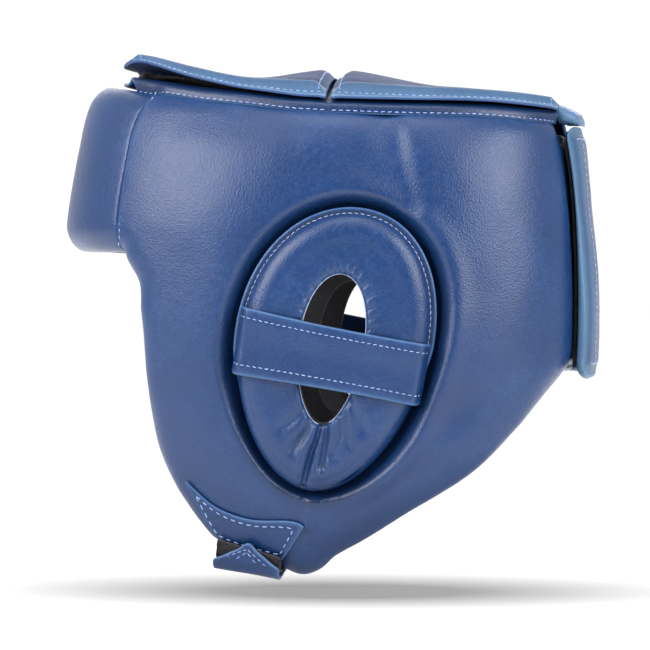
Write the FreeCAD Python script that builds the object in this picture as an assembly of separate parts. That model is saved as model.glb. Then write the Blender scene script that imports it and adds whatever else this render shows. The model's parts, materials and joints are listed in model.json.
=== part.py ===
"""Open-face boxing headgear, built the way it is sewn: a forehead panel and two side panels, each a leather
cover over foam over a black lining, with an ear pad and ear strap let into each side, two crown lobes, a rear
closure flap and a chin strap that all close with hook and loop.

Units are millimetres. The origin is the centre of the wearer's head, +Z is up, the face looks along -Y and the
wearer's left is +X. Most pieces lie on or under one outer surface, the shell. A place on the shell is a turn
about Z (0 at the face, +90 at the wearer's left, 180 at the back), a height and a depth below the surface.
"""

import FreeCAD
import Part
import functools
import math
import os

V = FreeCAD.Vector

# Outer shell: its half width and its reach to the front and to the rear, each as (height, size) keys.
HALF_WIDTH = [(-130, 73), (-90, 89), (-50, 99), (0, 104), (50, 101.5), (85, 94), (105, 84), (122, 70)]
FRONT_REACH = [(-130, 104), (-90, 118), (-50, 128), (0, 136), (45, 141),
               (61, 139.5), (87, 134.5), (107, 130), (122, 123)]
REAR_REACH = [(-130, 110), (-50, 119), (-20, 121.5), (20, 122.3), (60, 121), (86, 118.5), (102, 116),
              (122, 110)]
FRONT_SQUARENESS = 2.25
REAR_SQUARENESS = 3.1

# Panel build-up, as depths below the shell surface.
COVER = 1.5
GLUE_GAP = 0.25
RECESS_DEPTH = 12.5
RECESS_FLOOR = 1.5
SIDE_THICKNESS = 22.0
FOREHEAD_THICKNESS = 25.0
LINING = 1.2

# Outline of a side panel as (y, height) points, one list per side of the panel.
CHEEK_FRONT = [(-58, -109), (-70, -91), (-84, -63), (-90, -30), (-92.5, 0), (-96.5, 20)]
SEAM = [(-108.4, 35), (-107, 57), (-103.5, 80.5), (-99.6, 99), (-90, 117)]
PANEL_BOTTOM = [(-58, -109), (-43, -114), (-28.5, -118.2), (-17, -122.5), (-8.5, -120), (-1, -113.5),
                (14, -104.7), (36, -90.4), (68, -70.6), (92, -49), (117, -26)]
PANEL_REAR = [(117, -26), (119.3, 0), (118, 46), (113.5, 84), (109.5, 101)]
PANEL_TOP = [(-90, 117), (-65, 113), (-40, 110), (-15, 107), (33, 105), (75, 104), (109.5, 101)]
SEAM_GAP_DEG = 0.5
FOREHEAD_BOTTOM = 37.0
FOREHEAD_TOP = 121.5

# Ear pad, its recess and the holes through pad and panel: ovals in the side view as (y, height) centre and
# (half width, half height), narrower below and leaning back at the top.
EAR_LEAN = 0.125
EAR_EGG = 0.15
EAR_CENTRE = (2.2, -14.3)
EAR_PAD_HALF = (48.3, 70.4)
EAR_RECESS_HALF = (57, 76)
EAR_HOLE_CENTRE = (0.5, -12)
EAR_HOLE_HALF = (16, 37)
INNER_HOLE_CENTRE = (5, -12)
INNER_HOLE_HALF = (12.5, 34)
EAR_PAD_RISE = 0.8
STRAP_CENTRE = (0.8, -15.8)
STRAP_WIDTHS = (33, 30)
STRAP_SLOPE = -0.188
STRAP_THICKNESS = 2.4

# Crown: the lobes' stack starts at these heights along the middle, and at the panels' top edge along the sides.
CROWN_MIDDLE = [(-113, 118.8), (-100, 115.5), (-75, 112.5), (-43, 110.5), (-3, 116), (51, 106.5), (112, 101)]
RIM_INSET = 4.0
RIM_DROP = 0.6
FRONT_LOBE = (-102.0, -3.6)
REAR_LOBE = (-0.4, 110.0)
FRONT_BULGE = 9.0
FRONT_BULGE_HALF_WIDTH = 42.0
LOWER_LOBE = 2.6
LOWER_LOBE_REACH = -22
TAPE = 1.3
TAPE_GAP = 0.45
TAPE_GLUE = 0.45
TAPE_INSET = 6.0
TAPE_END = -12
UPPER_LOBE = 5.0
UPPER_LIFT = LOWER_LOBE + 2 * TAPE + TAPE_GAP + 2 * TAPE_GLUE
ROOT_LIFT = 2.2
ROOT_THICKNESS = 2.4
HINGE_INSET = 1.0
CLIMB_LENGTH = 18.0
CORNER_CURL = 3.0
CURL_START_Y = -40
CURL_LENGTH = 40
CURL_WIDTH = 60
FRONT_HINGE_RAISE = 0.0
REAR_HINGE_RAISE = 1.7
HINGE_CLEARANCE = 1.9
STRIP_WIDTH = 9.0
STRIP_THICKNESS = 1.6
STRIP_FOOT_RISE = 0.7
STRIP_KNEE_RISE = 1.2

# The back tab, as (y past the rear lobe's end, drop) along its underside, and the lean of its thickness there.
BACK_TAB_X = (-8, 38)
BACK_TAB_THICKNESS = 2.2
BACK_TAB_RISE = 0.8
BACK_TAB_ROUNDNESS = 0.0018
BACK_TAB_PATH = [(-13, 0.0), (-2, 0.0), (2.5, -1.8), (6, -7.5), (7.2, -14.5)]
BACK_TAB_LEANS = [(0, 1), (0.15, 0.99), (0.6, 0.8), (0.87, 0.5), (1, 0.1)]

# Rear closure, as turns about Z: a flap hinged on the right panel closes over an under flap on the left panel.
FLAP_ROOT, FLAP_END = 211.0, 154.0
FLAP_HEIGHTS = (-28.0, 98.5)
FLAP_THICKNESS = 4.6
FLAP_HINGE_RISE = 10.0
TAPE_MARGIN = 8.0
UNDER_FLAP_TURNS = (198.0, 161.5)
UNDER_FLAP_DEPTHS = (0.8, 9.0)
REAR_TAPE_TURNS = (190.0, 157.0)
HINGE_STRIP_TURNS = (219.0, 212.2)
HINGE_STRIP = 3.0
HINGE_STRIP_RISE = 0.4

# Chin: the straps fold under each jaw end along a line from a front point to a rear point.
FOLD_FRONT = (72.3, -57, -114)
FOLD_REAR = (77.5, -26, -121)
CHEEK_OUTWARD = (0.90, -0.22, -0.37)
CHIN_GAP = 0.5
CHIN_TAB = 1.3
CHIN_TAPE = 1.0
CHIN_TAPE_GAP = 0.4
CHIN_STRAP = 2.2
CHIN_SAG = 3.0
TIP_LENGTH = 16.5
TIP_ROOT = 1.2
TIP_HALF_END = 1.5
TIP_TAPE_INSET = 6.0
TAB_OVERHANG = 1.5
TAB_RISE = (5.4, 3.4)
ANCHOR_ROOT = 2.6
ANCHOR_LENGTH = 8.0
PATCH_THICKNESS = 1.5
PATCH_TOP = [(-71.8, -77.5), (-57, -90), (-40, -96), (-21, -96.5), (-14, -98.6)]
PATCH_BOTTOM = [(-56.5, -107), (-41, -111.5), (-25.5, -116)]


def along(keys, t):
    """A smooth curve through (t, value) keys: cubic pieces whose slopes are the mean of their neighbours'."""
    t = max(keys[0][0], min(keys[-1][0], t))
    k = next(i for i in range(len(keys) - 1) if t <= keys[i + 1][0])

    def slope(i):
        low, high = max(i - 1, 0), min(i + 1, len(keys) - 1)
        return (keys[high][1] - keys[low][1]) / (keys[high][0] - keys[low][0])

    (t0, v0), (t1, v1) = keys[k], keys[k + 1]
    h = t1 - t0
    s = (t - t0) / h
    return (
        v0 * (2 * s**3 - 3 * s**2 + 1)
        + h * slope(k) * (s**3 - 2 * s**2 + s)
        + v1 * (3 * s**2 - 2 * s**3)
        + h * slope(k + 1) * (s**3 - s**2)
    )


def through(points, t):
    """The point at share t of a smooth curve through 2-D points, spaced by their distances."""
    far = [0.0]
    for (a, b), (c, d) in zip(points, points[1:]):
        far.append(far[-1] + math.hypot(c - a, d - b))
    place = t * far[-1]
    return tuple(along([(f, p[k]) for f, p in zip(far, points)], place) for k in (0, 1))


def ease(t):
    """From 0 to 1 with level ends."""
    t = max(0.0, min(1.0, t))
    return t * t * (3 - 2 * t)


def shell_place(turn, height):
    """A point of the outer shell surface."""
    s, c = math.sin(math.radians(turn)), math.cos(math.radians(turn))
    reach = along(FRONT_REACH if c > 0 else REAR_REACH, height)
    n = FRONT_SQUARENESS if c > 0 else REAR_SQUARENESS
    radius = ((abs(s) / along(HALF_WIDTH, height)) ** n + (abs(c) / reach) ** n) ** (-1 / n)
    return V(radius * s, -radius * c, height)


def shell(turn, height, depth=0.0):
    """A point at a depth below the shell surface, along its normal."""
    step = 0.5
    across = shell_place(turn + step, height) - shell_place(turn - step, height)
    up = shell_place(turn, height + step) - shell_place(turn, height - step)
    normal = across.cross(up)
    normal.normalize()
    return shell_place(turn, height) - normal * depth


def turn_where(reached, low=5.0, high=178.0):
    """The turn between low and high at which a test first holds."""
    for _ in range(40):
        middle = (low + high) / 2
        if reached(middle):
            high = middle
        else:
            low = middle
    return low


def on_shell(point):
    """(turn, height) of a point (y, height) of the side view, on the wearer's left."""
    return turn_where(lambda turn: shell_place(turn, point[1]).y >= point[0]), point[1]


def skin(grid):
    surface = Part.BSplineSurface()
    surface.interpolate(grid)
    return surface


def border(surface):
    u0, u1, v0, v1 = surface.bounds()
    return [surface.uIso(u0), surface.uIso(u1), surface.vIso(v0), surface.vIso(v1)]


def solid_between(top_grid, bottom_grid):
    """A closed solid between two grids of points, with straight walls along its four sides."""
    top, bottom = skin(top_grid), skin(bottom_grid)
    faces = [top.toShape(), bottom.toShape()]
    for a, b in zip(border(top), border(bottom)):
        faces.append(Part.makeRuledSurface(a.toShape(), b.toShape()))
    sewn = Part.Shell(faces)
    sewn.sewShape()
    solid = Part.makeSolid(sewn)
    if solid.Volume < 0:
        solid.reverse()
    return solid


def layer(place, count_u, count_v, outer, inner):
    """A slab of the shell between two depths. place(u, v) gives turn and height, for u and v from 0 to 1."""
    spots = [[place(i / count_u, j / count_v) for j in range(count_v + 1)] for i in range(count_u + 1)]
    return solid_between(
        [[shell(turn, z, outer) for turn, z in row] for row in spots],
        [[shell(turn, z, inner) for turn, z in row] for row in spots],
    )


def band(turns, heights):
    """A plain rectangle of the shell, as a place for layer."""
    return lambda u, v: (turns[0] + u * (turns[1] - turns[0]), heights[0] + v * (heights[1] - heights[0]))


def side_place(u, v):
    """The side panel's own grid: u from front to rear, v from bottom to top, blended from its four sides."""
    front, rear = on_shell(through(CHEEK_FRONT + SEAM, v)), on_shell(through(PANEL_REAR, v))
    low, high = on_shell(through(PANEL_BOTTOM, u)), on_shell(through(PANEL_TOP, u))
    corners = [on_shell(p) for p in (PANEL_BOTTOM[0], PANEL_BOTTOM[-1], PANEL_TOP[0], PANEL_TOP[-1])]
    spot = []
    for k in (0, 1):
        corner_low = (1 - u) * corners[0][k] + u * corners[1][k]
        corner_high = (1 - u) * corners[2][k] + u * corners[3][k]
        sides = (1 - u) * front[k] + u * rear[k] + (1 - v) * low[k] + v * high[k]
        spot.append(sides - (1 - v) * corner_low - v * corner_high)
    return spot[0] + SEAM_GAP_DEG * (1 - u), spot[1]


def forehead_height(share_up, turn, seam_turn, seam_height):
    """Height on the forehead panel: it dips or rises from its middle towards the seams."""
    middle = FOREHEAD_BOTTOM + share_up * (FOREHEAD_TOP - FOREHEAD_BOTTOM)
    return middle + (seam_height - middle) * (turn / seam_turn) ** 2


def forehead_place(u, v):
    """The forehead panel's grid: u from the right seam to the left seam, v from bottom to top."""
    seam_turn, seam_height = on_shell(through(SEAM, v))
    turn = (seam_turn - SEAM_GAP_DEG) * (2 * u - 1)
    return turn, forehead_height(v, turn, seam_turn, seam_height)


def oval_prism(centre, half, grow=0.0):
    """An ear-shaped oval, as a prism through the wearer's left side."""
    points = []
    for k in range(24):
        a = 2 * math.pi * k / 24
        wide = (half[0] + grow) * math.sin(a) * (1 + EAR_EGG * math.cos(a))
        tall = (half[1] + grow) * math.cos(a)
        points.append(V(40, centre[0] + wide + EAR_LEAN * tall, centre[1] + tall))
    curve = Part.BSplineCurve()
    curve.interpolate(points, PeriodicFlag=True)
    return Part.Face(Part.Wire(curve.toShape())).extrude(V(100, 0, 0))


def mirrored(shape):
    return shape.mirror(V(0, 0, 0), V(1, 0, 0))


def forehead():
    foam_in = FOREHEAD_THICKNESS - LINING - GLUE_GAP
    return {
        "forehead_cover": layer(forehead_place, 16, 8, 0, COVER),
        "forehead_foam": layer(forehead_place, 16, 8, COVER + GLUE_GAP, foam_in),
        "forehead_lining": layer(forehead_place, 16, 8, foam_in + GLUE_GAP, FOREHEAD_THICKNESS),
    }


def side_panel():
    """The wearer's left panel: cover and outer foam with the ear recess, inner foam and lining with the hole."""
    recess = oval_prism(EAR_CENTRE, EAR_RECESS_HALF)
    hole = oval_prism(INNER_HOLE_CENTRE, INNER_HOLE_HALF)
    split = RECESS_DEPTH + RECESS_FLOOR
    foam_in = SIDE_THICKNESS - LINING - GLUE_GAP
    return {
        "side_cover": layer(side_place, 24, 20, 0, COVER).cut(recess),
        "side_outer_foam": layer(side_place, 24, 20, COVER + GLUE_GAP, split).cut(recess),
        "side_inner_foam": layer(side_place, 24, 20, split + GLUE_GAP, foam_in).cut(hole),
        "side_lining": layer(side_place, 24, 20, foam_in + GLUE_GAP, SIDE_THICKNESS).cut(hole),
    }


def strap_place(u, v):
    """The ear strap: u from its front end to its rear end, v from its lower edge to its upper edge."""
    y = EAR_CENTRE[0] + (2 * u - 1) * (EAR_PAD_HALF[0] - 1)
    width = STRAP_WIDTHS[0] + u * (STRAP_WIDTHS[1] - STRAP_WIDTHS[0])
    return on_shell((y, STRAP_CENTRE[1] + STRAP_SLOPE * (y - STRAP_CENTRE[0]) + (v - 0.5) * width))


def ear_parts():
    """The recess floor, the ear pad's foam and cover, and the strap across it, on the wearer's left."""
    ear = band((50, 135), (-100, 75))
    hole = oval_prism(EAR_HOLE_CENTRE, EAR_HOLE_HALF)
    pad_ring = oval_prism(EAR_CENTRE, EAR_PAD_HALF).cut(hole)
    floor_ring = oval_prism(EAR_CENTRE, EAR_RECESS_HALF, -0.4).cut(hole)
    strap_in = -EAR_PAD_RISE - GLUE_GAP
    cover_in = COVER - EAR_PAD_RISE
    floor_in = RECESS_DEPTH + RECESS_FLOOR - GLUE_GAP
    return {
        "ear_recess_floor": layer(ear, 14, 14, RECESS_DEPTH, floor_in).common(floor_ring),
        "ear_pad_foam": layer(ear, 14, 14, cover_in + GLUE_GAP, RECESS_DEPTH - GLUE_GAP).common(pad_ring),
        "ear_pad_cover": layer(ear, 14, 14, -EAR_PAD_RISE, cover_in).common(pad_ring),
        "ear_strap": layer(strap_place, 12, 6, strap_in - STRAP_THICKNESS, strap_in),
    }


@functools.cache
def rim(y):
    """(turn, height) of the panels' outer top edge at this y, on the wearer's left."""
    seam_y, seam_height = PANEL_TOP[0]
    if y >= seam_y:
        return on_shell((y, along(PANEL_TOP, y)))
    seam_turn = on_shell(PANEL_TOP[0])[0]

    def height(turn):
        return forehead_height(1.0, turn, seam_turn, seam_height)

    turn = turn_where(lambda t: shell_place(t, height(t)).y >= y)
    return turn, height(turn)


def crown_edge_x(y):
    """Half width of the crown at this y."""
    return shell_place(*rim(y)).x - RIM_INSET


def crown_height(x, y):
    """The surface that the crown's pieces are stacked on."""
    nominal_y = max(y, FRONT_LOBE[0])
    edge = rim(nominal_y)[1] - RIM_DROP
    middle = along(CROWN_MIDDLE, y)
    return middle + (edge - middle) * (x / crown_edge_x(nominal_y)) ** 2


def crown_piece(y_range, x_ends, lift, thickness):
    """A crown lobe or tape over a range of y. x_ends(y) gives its two sides, lift(x, y) its underside's height
    over the crown surface and thickness(x, y) its own. The front lobes' front edge bulges over the forehead."""
    bulges = y_range[0] < FRONT_LOBE[0] + 2 * TAPE_INSET
    low, high = [], []
    for i in range(17):
        low.append([])
        high.append([])
        for j in range(9):
            y = y_range[0] + (y_range[1] - y_range[0]) * j / 8
            a, b = x_ends(y)
            x = a + (b - a) * i / 16
            if bulges:
                y -= FRONT_BULGE * max(0.0, 1 - (x / FRONT_BULGE_HALF_WIDTH) ** 2) * (1 - j / 8) ** 2
            z = crown_height(x, y) + lift(x, y)
            low[-1].append(V(x, y, z))
            high[-1].append(V(x, y, z + thickness(x, y)))
    return solid_between(high, low)


def hinge_x(y):
    """Where the line that an upper lobe turns about, along the right panel's top edge, crosses this y."""
    start, end = REAR_LOBE if y >= REAR_LOBE[0] else FRONT_LOBE
    x_start, x_end = HINGE_INSET - crown_edge_x(start), HINGE_INSET - crown_edge_x(end)
    return x_start + (x_end - x_start) * (y - start) / (end - start)


def lobe_hinge(y_range):
    """Two points on the line that an upper lobe turns about, above the dips of its root edge."""
    raised = ROOT_LIFT + ROOT_THICKNESS / 2 + (REAR_HINGE_RAISE if y_range == REAR_LOBE else FRONT_HINGE_RAISE)
    return [V(hinge_x(y), y, crown_height(hinge_x(y), y) + raised) for y in y_range]


def upper_thickness(x, y):
    """An upper lobe is thin along its hinge and padded from there on."""
    return ROOT_THICKNESS + (UPPER_LOBE - ROOT_THICKNESS) * ease((x - hinge_x(y)) / CLIMB_LENGTH)


def upper_lift(x, y):
    """An upper lobe climbs over the lower one, and its front left corner curls up."""
    climb = ROOT_LIFT + (UPPER_LIFT - ROOT_LIFT) * ease((x - hinge_x(y)) / CLIMB_LENGTH)
    return climb + CORNER_CURL * ease(x / CURL_WIDTH) * ease((CURL_START_Y - y) / CURL_LENGTH)


def crown():
    """Lower lobes on the left panel, upper lobes hinged on the right panel, and the tapes between them."""
    made = {}
    for name, ys in (("front", FRONT_LOBE), ("rear", REAR_LOBE)):
        tape_ys = (ys[0] + TAPE_INSET, ys[1] - TAPE_INSET)

        def tape_ends(y):
            return TAPE_END, crown_edge_x(y) - 2 * TAPE_INSET

        def hook_lift(x, y):
            return upper_lift(x, y) - TAPE_GLUE - TAPE

        made[f"crown_{name}_lower_lobe"] = crown_piece(
            ys, lambda y: (LOWER_LOBE_REACH, crown_edge_x(y) - 1.5), lambda x, y: 0.0, lambda x, y: LOWER_LOBE
        )
        made[f"crown_{name}_loop_tape"] = crown_piece(
            tape_ys, tape_ends, lambda x, y: LOWER_LOBE + TAPE_GLUE, lambda x, y: TAPE
        )
        made[f"crown_{name}_hook_tape"] = crown_piece(tape_ys, tape_ends, hook_lift, lambda x, y: TAPE)
        made[f"crown_{name}_upper_lobe"] = crown_piece(
            ys, lambda y: (hinge_x(y), crown_edge_x(y) + 1.5), upper_lift, upper_thickness
        )
        made[f"crown_{name}_seam_strip"] = seam_strip(ys)
    return made


def seam_strip(y_range):
    """The leather strip that joins an upper lobe to the outside of the right panel's top edge."""
    outer, inner = [], []
    for j in range(9):
        y = y_range[0] + (y_range[1] - y_range[0]) * j / 8
        turn, height = rim(y)
        hinge = V(hinge_x(y), y, crown_height(hinge_x(y), y) + ROOT_LIFT + ROOT_THICKNESS / 2)
        foot = shell(-turn, height - STRIP_WIDTH, -STRIP_FOOT_RISE)
        knee = shell(-turn, height - 1, -STRIP_KNEE_RISE)
        head = hinge + (knee - hinge).normalize() * HINGE_CLEARANCE
        away = (shell(-turn, height - 4, -1) - shell(-turn, height - 4, 0)) * STRIP_THICKNESS
        row = [foot, (foot + knee) * 0.5, knee, (knee + head) * 0.5, head]
        inner.append(row)
        outer.append([p + away for p in row])
    return solid_between(outer, inner)


def back_tab():
    """The tab on the rear upper lobe that bends down over the back, inside the rear flap."""
    end_y = REAR_LOBE[1]
    top, under = [], []
    for i in range(7):
        x = BACK_TAB_X[0] + (BACK_TAB_X[1] - BACK_TAB_X[0]) * i / 6
        row = []
        for k, (past, drop) in enumerate(BACK_TAB_PATH):
            lobe_top = crown_height(x, end_y + min(past, 0.0)) + UPPER_LIFT + UPPER_LOBE
            rounding = BACK_TAB_ROUNDNESS * x * x * k / 4
            row.append(V(x, end_y + past - rounding, lobe_top + BACK_TAB_RISE + drop))
        under.append(row)
        top.append([p + V(0, *lean) * BACK_TAB_THICKNESS for p, lean in zip(row, BACK_TAB_LEANS)])
    return {"crown_back_tab": solid_between(top, under)}


def rear_closure():
    """The flap across the back with its hook tape, the under flap with its loop tape, and the hinge strip."""
    loop_out = -GLUE_GAP - TAPE
    hook_in = loop_out - TAPE_GAP
    flap_in = hook_in - TAPE - GLUE_GAP
    low, high = FLAP_HEIGHTS
    tape_heights = (low + TAPE_MARGIN, high - TAPE_MARGIN)
    strip_in = -HINGE_STRIP_RISE
    return {
        "rear_flap": layer(band((FLAP_ROOT, FLAP_END), FLAP_HEIGHTS), 20, 8, flap_in - FLAP_THICKNESS, flap_in),
        "rear_hook_tape": layer(band(REAR_TAPE_TURNS, tape_heights), 10, 8, hook_in - TAPE, hook_in),
        "rear_loop_tape": layer(band(REAR_TAPE_TURNS, tape_heights), 10, 8, loop_out, -GLUE_GAP),
        "rear_hinge_strip": layer(
            band(HINGE_STRIP_TURNS, (low, high - 10)), 6, 8, strip_in - HINGE_STRIP, strip_in),
        "rear_under_flap": layer(band(UNDER_FLAP_TURNS, (low + 4, high - 5)), 12, 8, *UNDER_FLAP_DEPTHS),
    }


def fold_line(side):
    """The fold line under one jaw end, front point and rear point, for side +1 (left) or -1 (right)."""
    return [V(side * x, y, z) for x, y, z in (FOLD_FRONT, FOLD_REAR)]


def chin_down():
    """The direction square to both fold lines and to X, pointing down."""
    front, rear = fold_line(1)
    return V(0, rear.z - front.z, front.y - rear.y).normalize()


def under_chin(shares, trim, drop, thickness):
    """A band under the chin. Shares run from 0 at the right fold line to 1 at the left one, trim is cut off each
    edge, and drop is how far its top lies below the fold lines."""
    right, left = fold_line(-1), fold_line(1)
    down = chin_down()
    top, under = [], []
    for i in range(13):
        share = shares[0] + (shares[1] - shares[0]) * i / 12
        rise = CHIN_SAG * math.sin(math.pi * share) ** 2
        row = []
        for j in range(5):
            across = trim + (1 - 2 * trim) * j / 4
            a = right[0] + (right[1] - right[0]) * across
            b = left[0] + (left[1] - left[0]) * across
            row.append(a + (b - a) * share + down * (drop - rise))
        top.append(row)
        under.append([p + down * thickness for p in row])
    return solid_between(top, under)


def cheek_axes():
    """At the left fold line: its front point, the directions along it, up the cheek and outwards."""
    front, rear = fold_line(1)
    fold = (rear - front).normalize()
    outward = V(*CHEEK_OUTWARD)
    outward = (outward - fold * outward.dot(fold)).normalize()
    return front, fold, outward.cross(fold).normalize(), outward


def cheek_plate(corners, out_from, thickness):
    """A flat plate beside the left cheek, from (along, up) corners measured from the front of the fold line."""
    origin, fold, up, outward = cheek_axes()
    wire = Part.makePolygon([origin + fold * a + up * b + outward * out_from for a, b in corners + corners[:1]])
    return Part.Face(wire).extrude(outward * thickness)


def chin_layers():
    """How far from the fold line each layer starts: tab, hook tape, strap."""
    tape = CHIN_GAP + CHIN_TAB + CHIN_TAPE_GAP
    return CHIN_GAP, tape, tape + CHIN_TAPE + GLUE_GAP


def chin():
    """The strap from the right jaw end, its pointed tip and hook tapes, the left tab, and the right anchor."""
    front, rear = fold_line(1)
    length = (rear - front).Length
    middle = length / 2
    tab_at, tape_at, strap_at = chin_layers()
    tip = [(0, TIP_ROOT), (length, TIP_ROOT)]
    tip += [(middle + side * TIP_HALF_END, TIP_LENGTH) for side in (1, -1)]
    tape_ends = (TIP_TAPE_INSET, length - TIP_TAPE_INSET)
    tip_tape = [(tape_ends[0], 2), (tape_ends[1], 2), (middle + 1, TIP_LENGTH - 5), (middle - 1, TIP_LENGTH - 5)]
    tab = [(-TAB_OVERHANG, -0.3), (length + TAB_OVERHANG, -0.3), (length, TAB_RISE[1]), (0, TAB_RISE[0])]
    anchor_at = ANCHOR_ROOT - strap_at
    anchor = [(-0.5, anchor_at), (length + 0.5, anchor_at), (length, ANCHOR_LENGTH), (0, ANCHOR_LENGTH)]
    return {
        "chin_strap": under_chin((0.008, 0.992), 0.0, strap_at, CHIN_STRAP),
        "chin_strap_hook_tape": under_chin((0.68, 0.98), 0.12, tape_at, CHIN_TAPE),
        "chin_strap_tip": cheek_plate(tip, strap_at, CHIN_STRAP),
        "chin_tip_hook_tape": cheek_plate(tip_tape, tape_at, CHIN_TAPE),
        "chin_tab": under_chin((0.66, 0.985), 0.03, tab_at, CHIN_TAB),
        "chin_tab_upper": cheek_plate(tab, tab_at, CHIN_TAB),
        "chin_strap_anchor": mirrored(cheek_plate(anchor, strap_at - CHIN_STRAP / 2, CHIN_STRAP)),
    }


def chin_hinges():
    """Two points on each of the chin strap's hinge lines: at the right anchor, then at the left fold."""
    strap_at = chin_layers()[2] + CHIN_STRAP / 2
    outward = cheek_axes()[3]
    right = [p + chin_down() * strap_at for p in fold_line(-1)]
    left = [p + chin_down() * strap_at + outward * strap_at for p in fold_line(1)]
    return right, left


def chin_patch():
    def place(u, v):
        low, high = through(PATCH_BOTTOM, u), through(PATCH_TOP, u)
        return on_shell(tuple(low[k] + v * (high[k] - low[k]) for k in (0, 1)))

    return layer(place, 8, 5, -GLUE_GAP - PATCH_THICKNESS, -GLUE_GAP)


def build():
    parts = forehead()
    for name, shape in {**side_panel(), **ear_parts(), "chin_patch": chin_patch()}.items():
        parts[f"left_{name}"] = shape
        parts[f"right_{name}"] = mirrored(shape)
    for group in (crown(), back_tab(), rear_closure(), chin()):
        parts.update(group)
    return parts


def show(title, points):
    print(title, *([round(c, 2) for c in p] for p in points))


os.makedirs("parts", exist_ok=True)
for node, shape in sorted(build().items()):
    if len(shape.Solids) != 1 or not shape.isValid():
        raise ValueError(f"{node} is not one valid solid")
    shape.Solids[0].exportStep(f"parts/{node}.step")
show("front lobe hinge", lobe_hinge(FRONT_LOBE))
show("rear lobe hinge", lobe_hinge(REAR_LOBE))
show("rear flap hinge", [shell(FLAP_ROOT, z, -FLAP_HINGE_RISE) for z in FLAP_HEIGHTS])
show("chin strap hinge", chin_hinges()[0])
show("chin tip hinge", chin_hinges()[1])
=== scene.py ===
"""The boxing headgear's looks: stitched blue leather over foam, black lining and hook-and-loop tape.

Shapes are worked out in millimetres in the part's own frame (+Z up, face along -Y, wearer's left +X) and made in
metres. Most pieces lie on or near one outer surface, the shell, where a place is a turn about Z, a height and a
depth, the same as in the part's source.
"""

import json
import math

import bmesh
import bpy
import numpy as np
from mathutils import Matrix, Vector, noise


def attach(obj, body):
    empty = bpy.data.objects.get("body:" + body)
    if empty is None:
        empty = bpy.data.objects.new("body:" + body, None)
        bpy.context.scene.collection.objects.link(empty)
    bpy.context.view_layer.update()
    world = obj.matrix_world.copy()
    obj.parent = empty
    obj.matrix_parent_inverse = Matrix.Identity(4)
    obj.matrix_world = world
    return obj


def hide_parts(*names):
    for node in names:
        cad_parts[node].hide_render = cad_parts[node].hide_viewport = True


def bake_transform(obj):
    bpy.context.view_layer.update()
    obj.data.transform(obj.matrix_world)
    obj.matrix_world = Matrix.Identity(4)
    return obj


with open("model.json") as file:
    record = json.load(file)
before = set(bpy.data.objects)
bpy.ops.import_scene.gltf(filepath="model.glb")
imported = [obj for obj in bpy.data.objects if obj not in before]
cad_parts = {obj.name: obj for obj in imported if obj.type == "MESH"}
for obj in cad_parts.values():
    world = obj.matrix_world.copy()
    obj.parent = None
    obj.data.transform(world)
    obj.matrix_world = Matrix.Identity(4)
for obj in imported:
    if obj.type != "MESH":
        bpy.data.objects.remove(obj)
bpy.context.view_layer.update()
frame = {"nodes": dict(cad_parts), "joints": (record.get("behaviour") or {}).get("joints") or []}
MM = 0.001

# ------------------------------------------------------------------ the part's own measures
HALF_WIDTH = [(-130, 73), (-90, 89), (-50, 99), (0, 104), (50, 101.5), (85, 94), (105, 84), (122, 70)]
FRONT_REACH = [(-130, 104), (-90, 118), (-50, 128), (0, 136), (45, 141), (61, 139.5), (87, 134.5), (107, 130),
               (122, 123)]
REAR_REACH = [(-130, 110), (-50, 119), (-20, 121.5), (20, 122.3), (60, 121), (86, 118.5), (102, 116), (122, 110)]
FRONT_SQUARE, REAR_SQUARE = 2.25, 3.1
SIDE_THICK, FOREHEAD_THICK = 22.0, 25.0
CHEEK_FRONT = [(-58, -109), (-70, -91), (-84, -63), (-90, -30), (-92.5, 0), (-96.5, 20)]
SEAM = [(-108.4, 35), (-107, 57), (-103.5, 80.5), (-99.6, 99), (-90, 117)]
PANEL_BOTTOM = [(-58, -109), (-43, -114), (-28.5, -118.2), (-17, -122.5), (-8.5, -120), (-1, -113.5), (14, -104.7),
                (36, -90.4), (68, -70.6), (92, -49), (117, -26)]
PANEL_REAR = [(117, -26), (119.3, 0), (118, 46), (113.5, 84), (109.5, 101)]
PANEL_TOP = [(-90, 117), (-65, 113), (-40, 110), (-15, 107), (33, 105), (75, 104), (109.5, 101)]
FOREHEAD_BOTTOM, FOREHEAD_TOP = 34.0, 121.5
EAR_LEAN, EAR_EGG = 0.125, 0.12
PAD_CENTRE = (1.0, -13.6)
EAR_CENTRE, PAD_HALF, HOLE_CENTRE, HOLE_HALF = (2.2, -14.3), (48.3, 70.4), (0.5, -12), (16, 37)
INNER_HOLE_CENTRE, INNER_HOLE_HALF = (5, -12), (12.5, 34)
BAND_HALF, BAND_HEIGHT, BAND_SLOPE = 46.6, -15.8, 0.188
CROWN_MIDDLE = [(-113, 118.8), (-100, 115.5), (-75, 112.5), (-43, 110.5), (-3, 116), (51, 106.5), (112, 101)]
LOBES = {"front": (-102.0, -3.6), "rear": (-0.4, 110.0)}
SIDE_SIGNS = {"left": 1, "right": -1}
FOLD_FRONT, FOLD_REAR = np.array([72.3, -57, -114]), np.array([77.5, -26, -121])
CHEEK_OUTWARD = np.array([0.90, -0.22, -0.37])
PATCH_TOP = [(-71.8, -77.5), (-57, -90), (-40, -96), (-21, -96.5), (-14, -98.6)]
PATCH_BOTTOM = [(-56.5, -107), (-41, -111.5), (-25.5, -116)]
DEG = 1.8  # millimetres of the shell's girth to a degree of turn, near the ear


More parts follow.
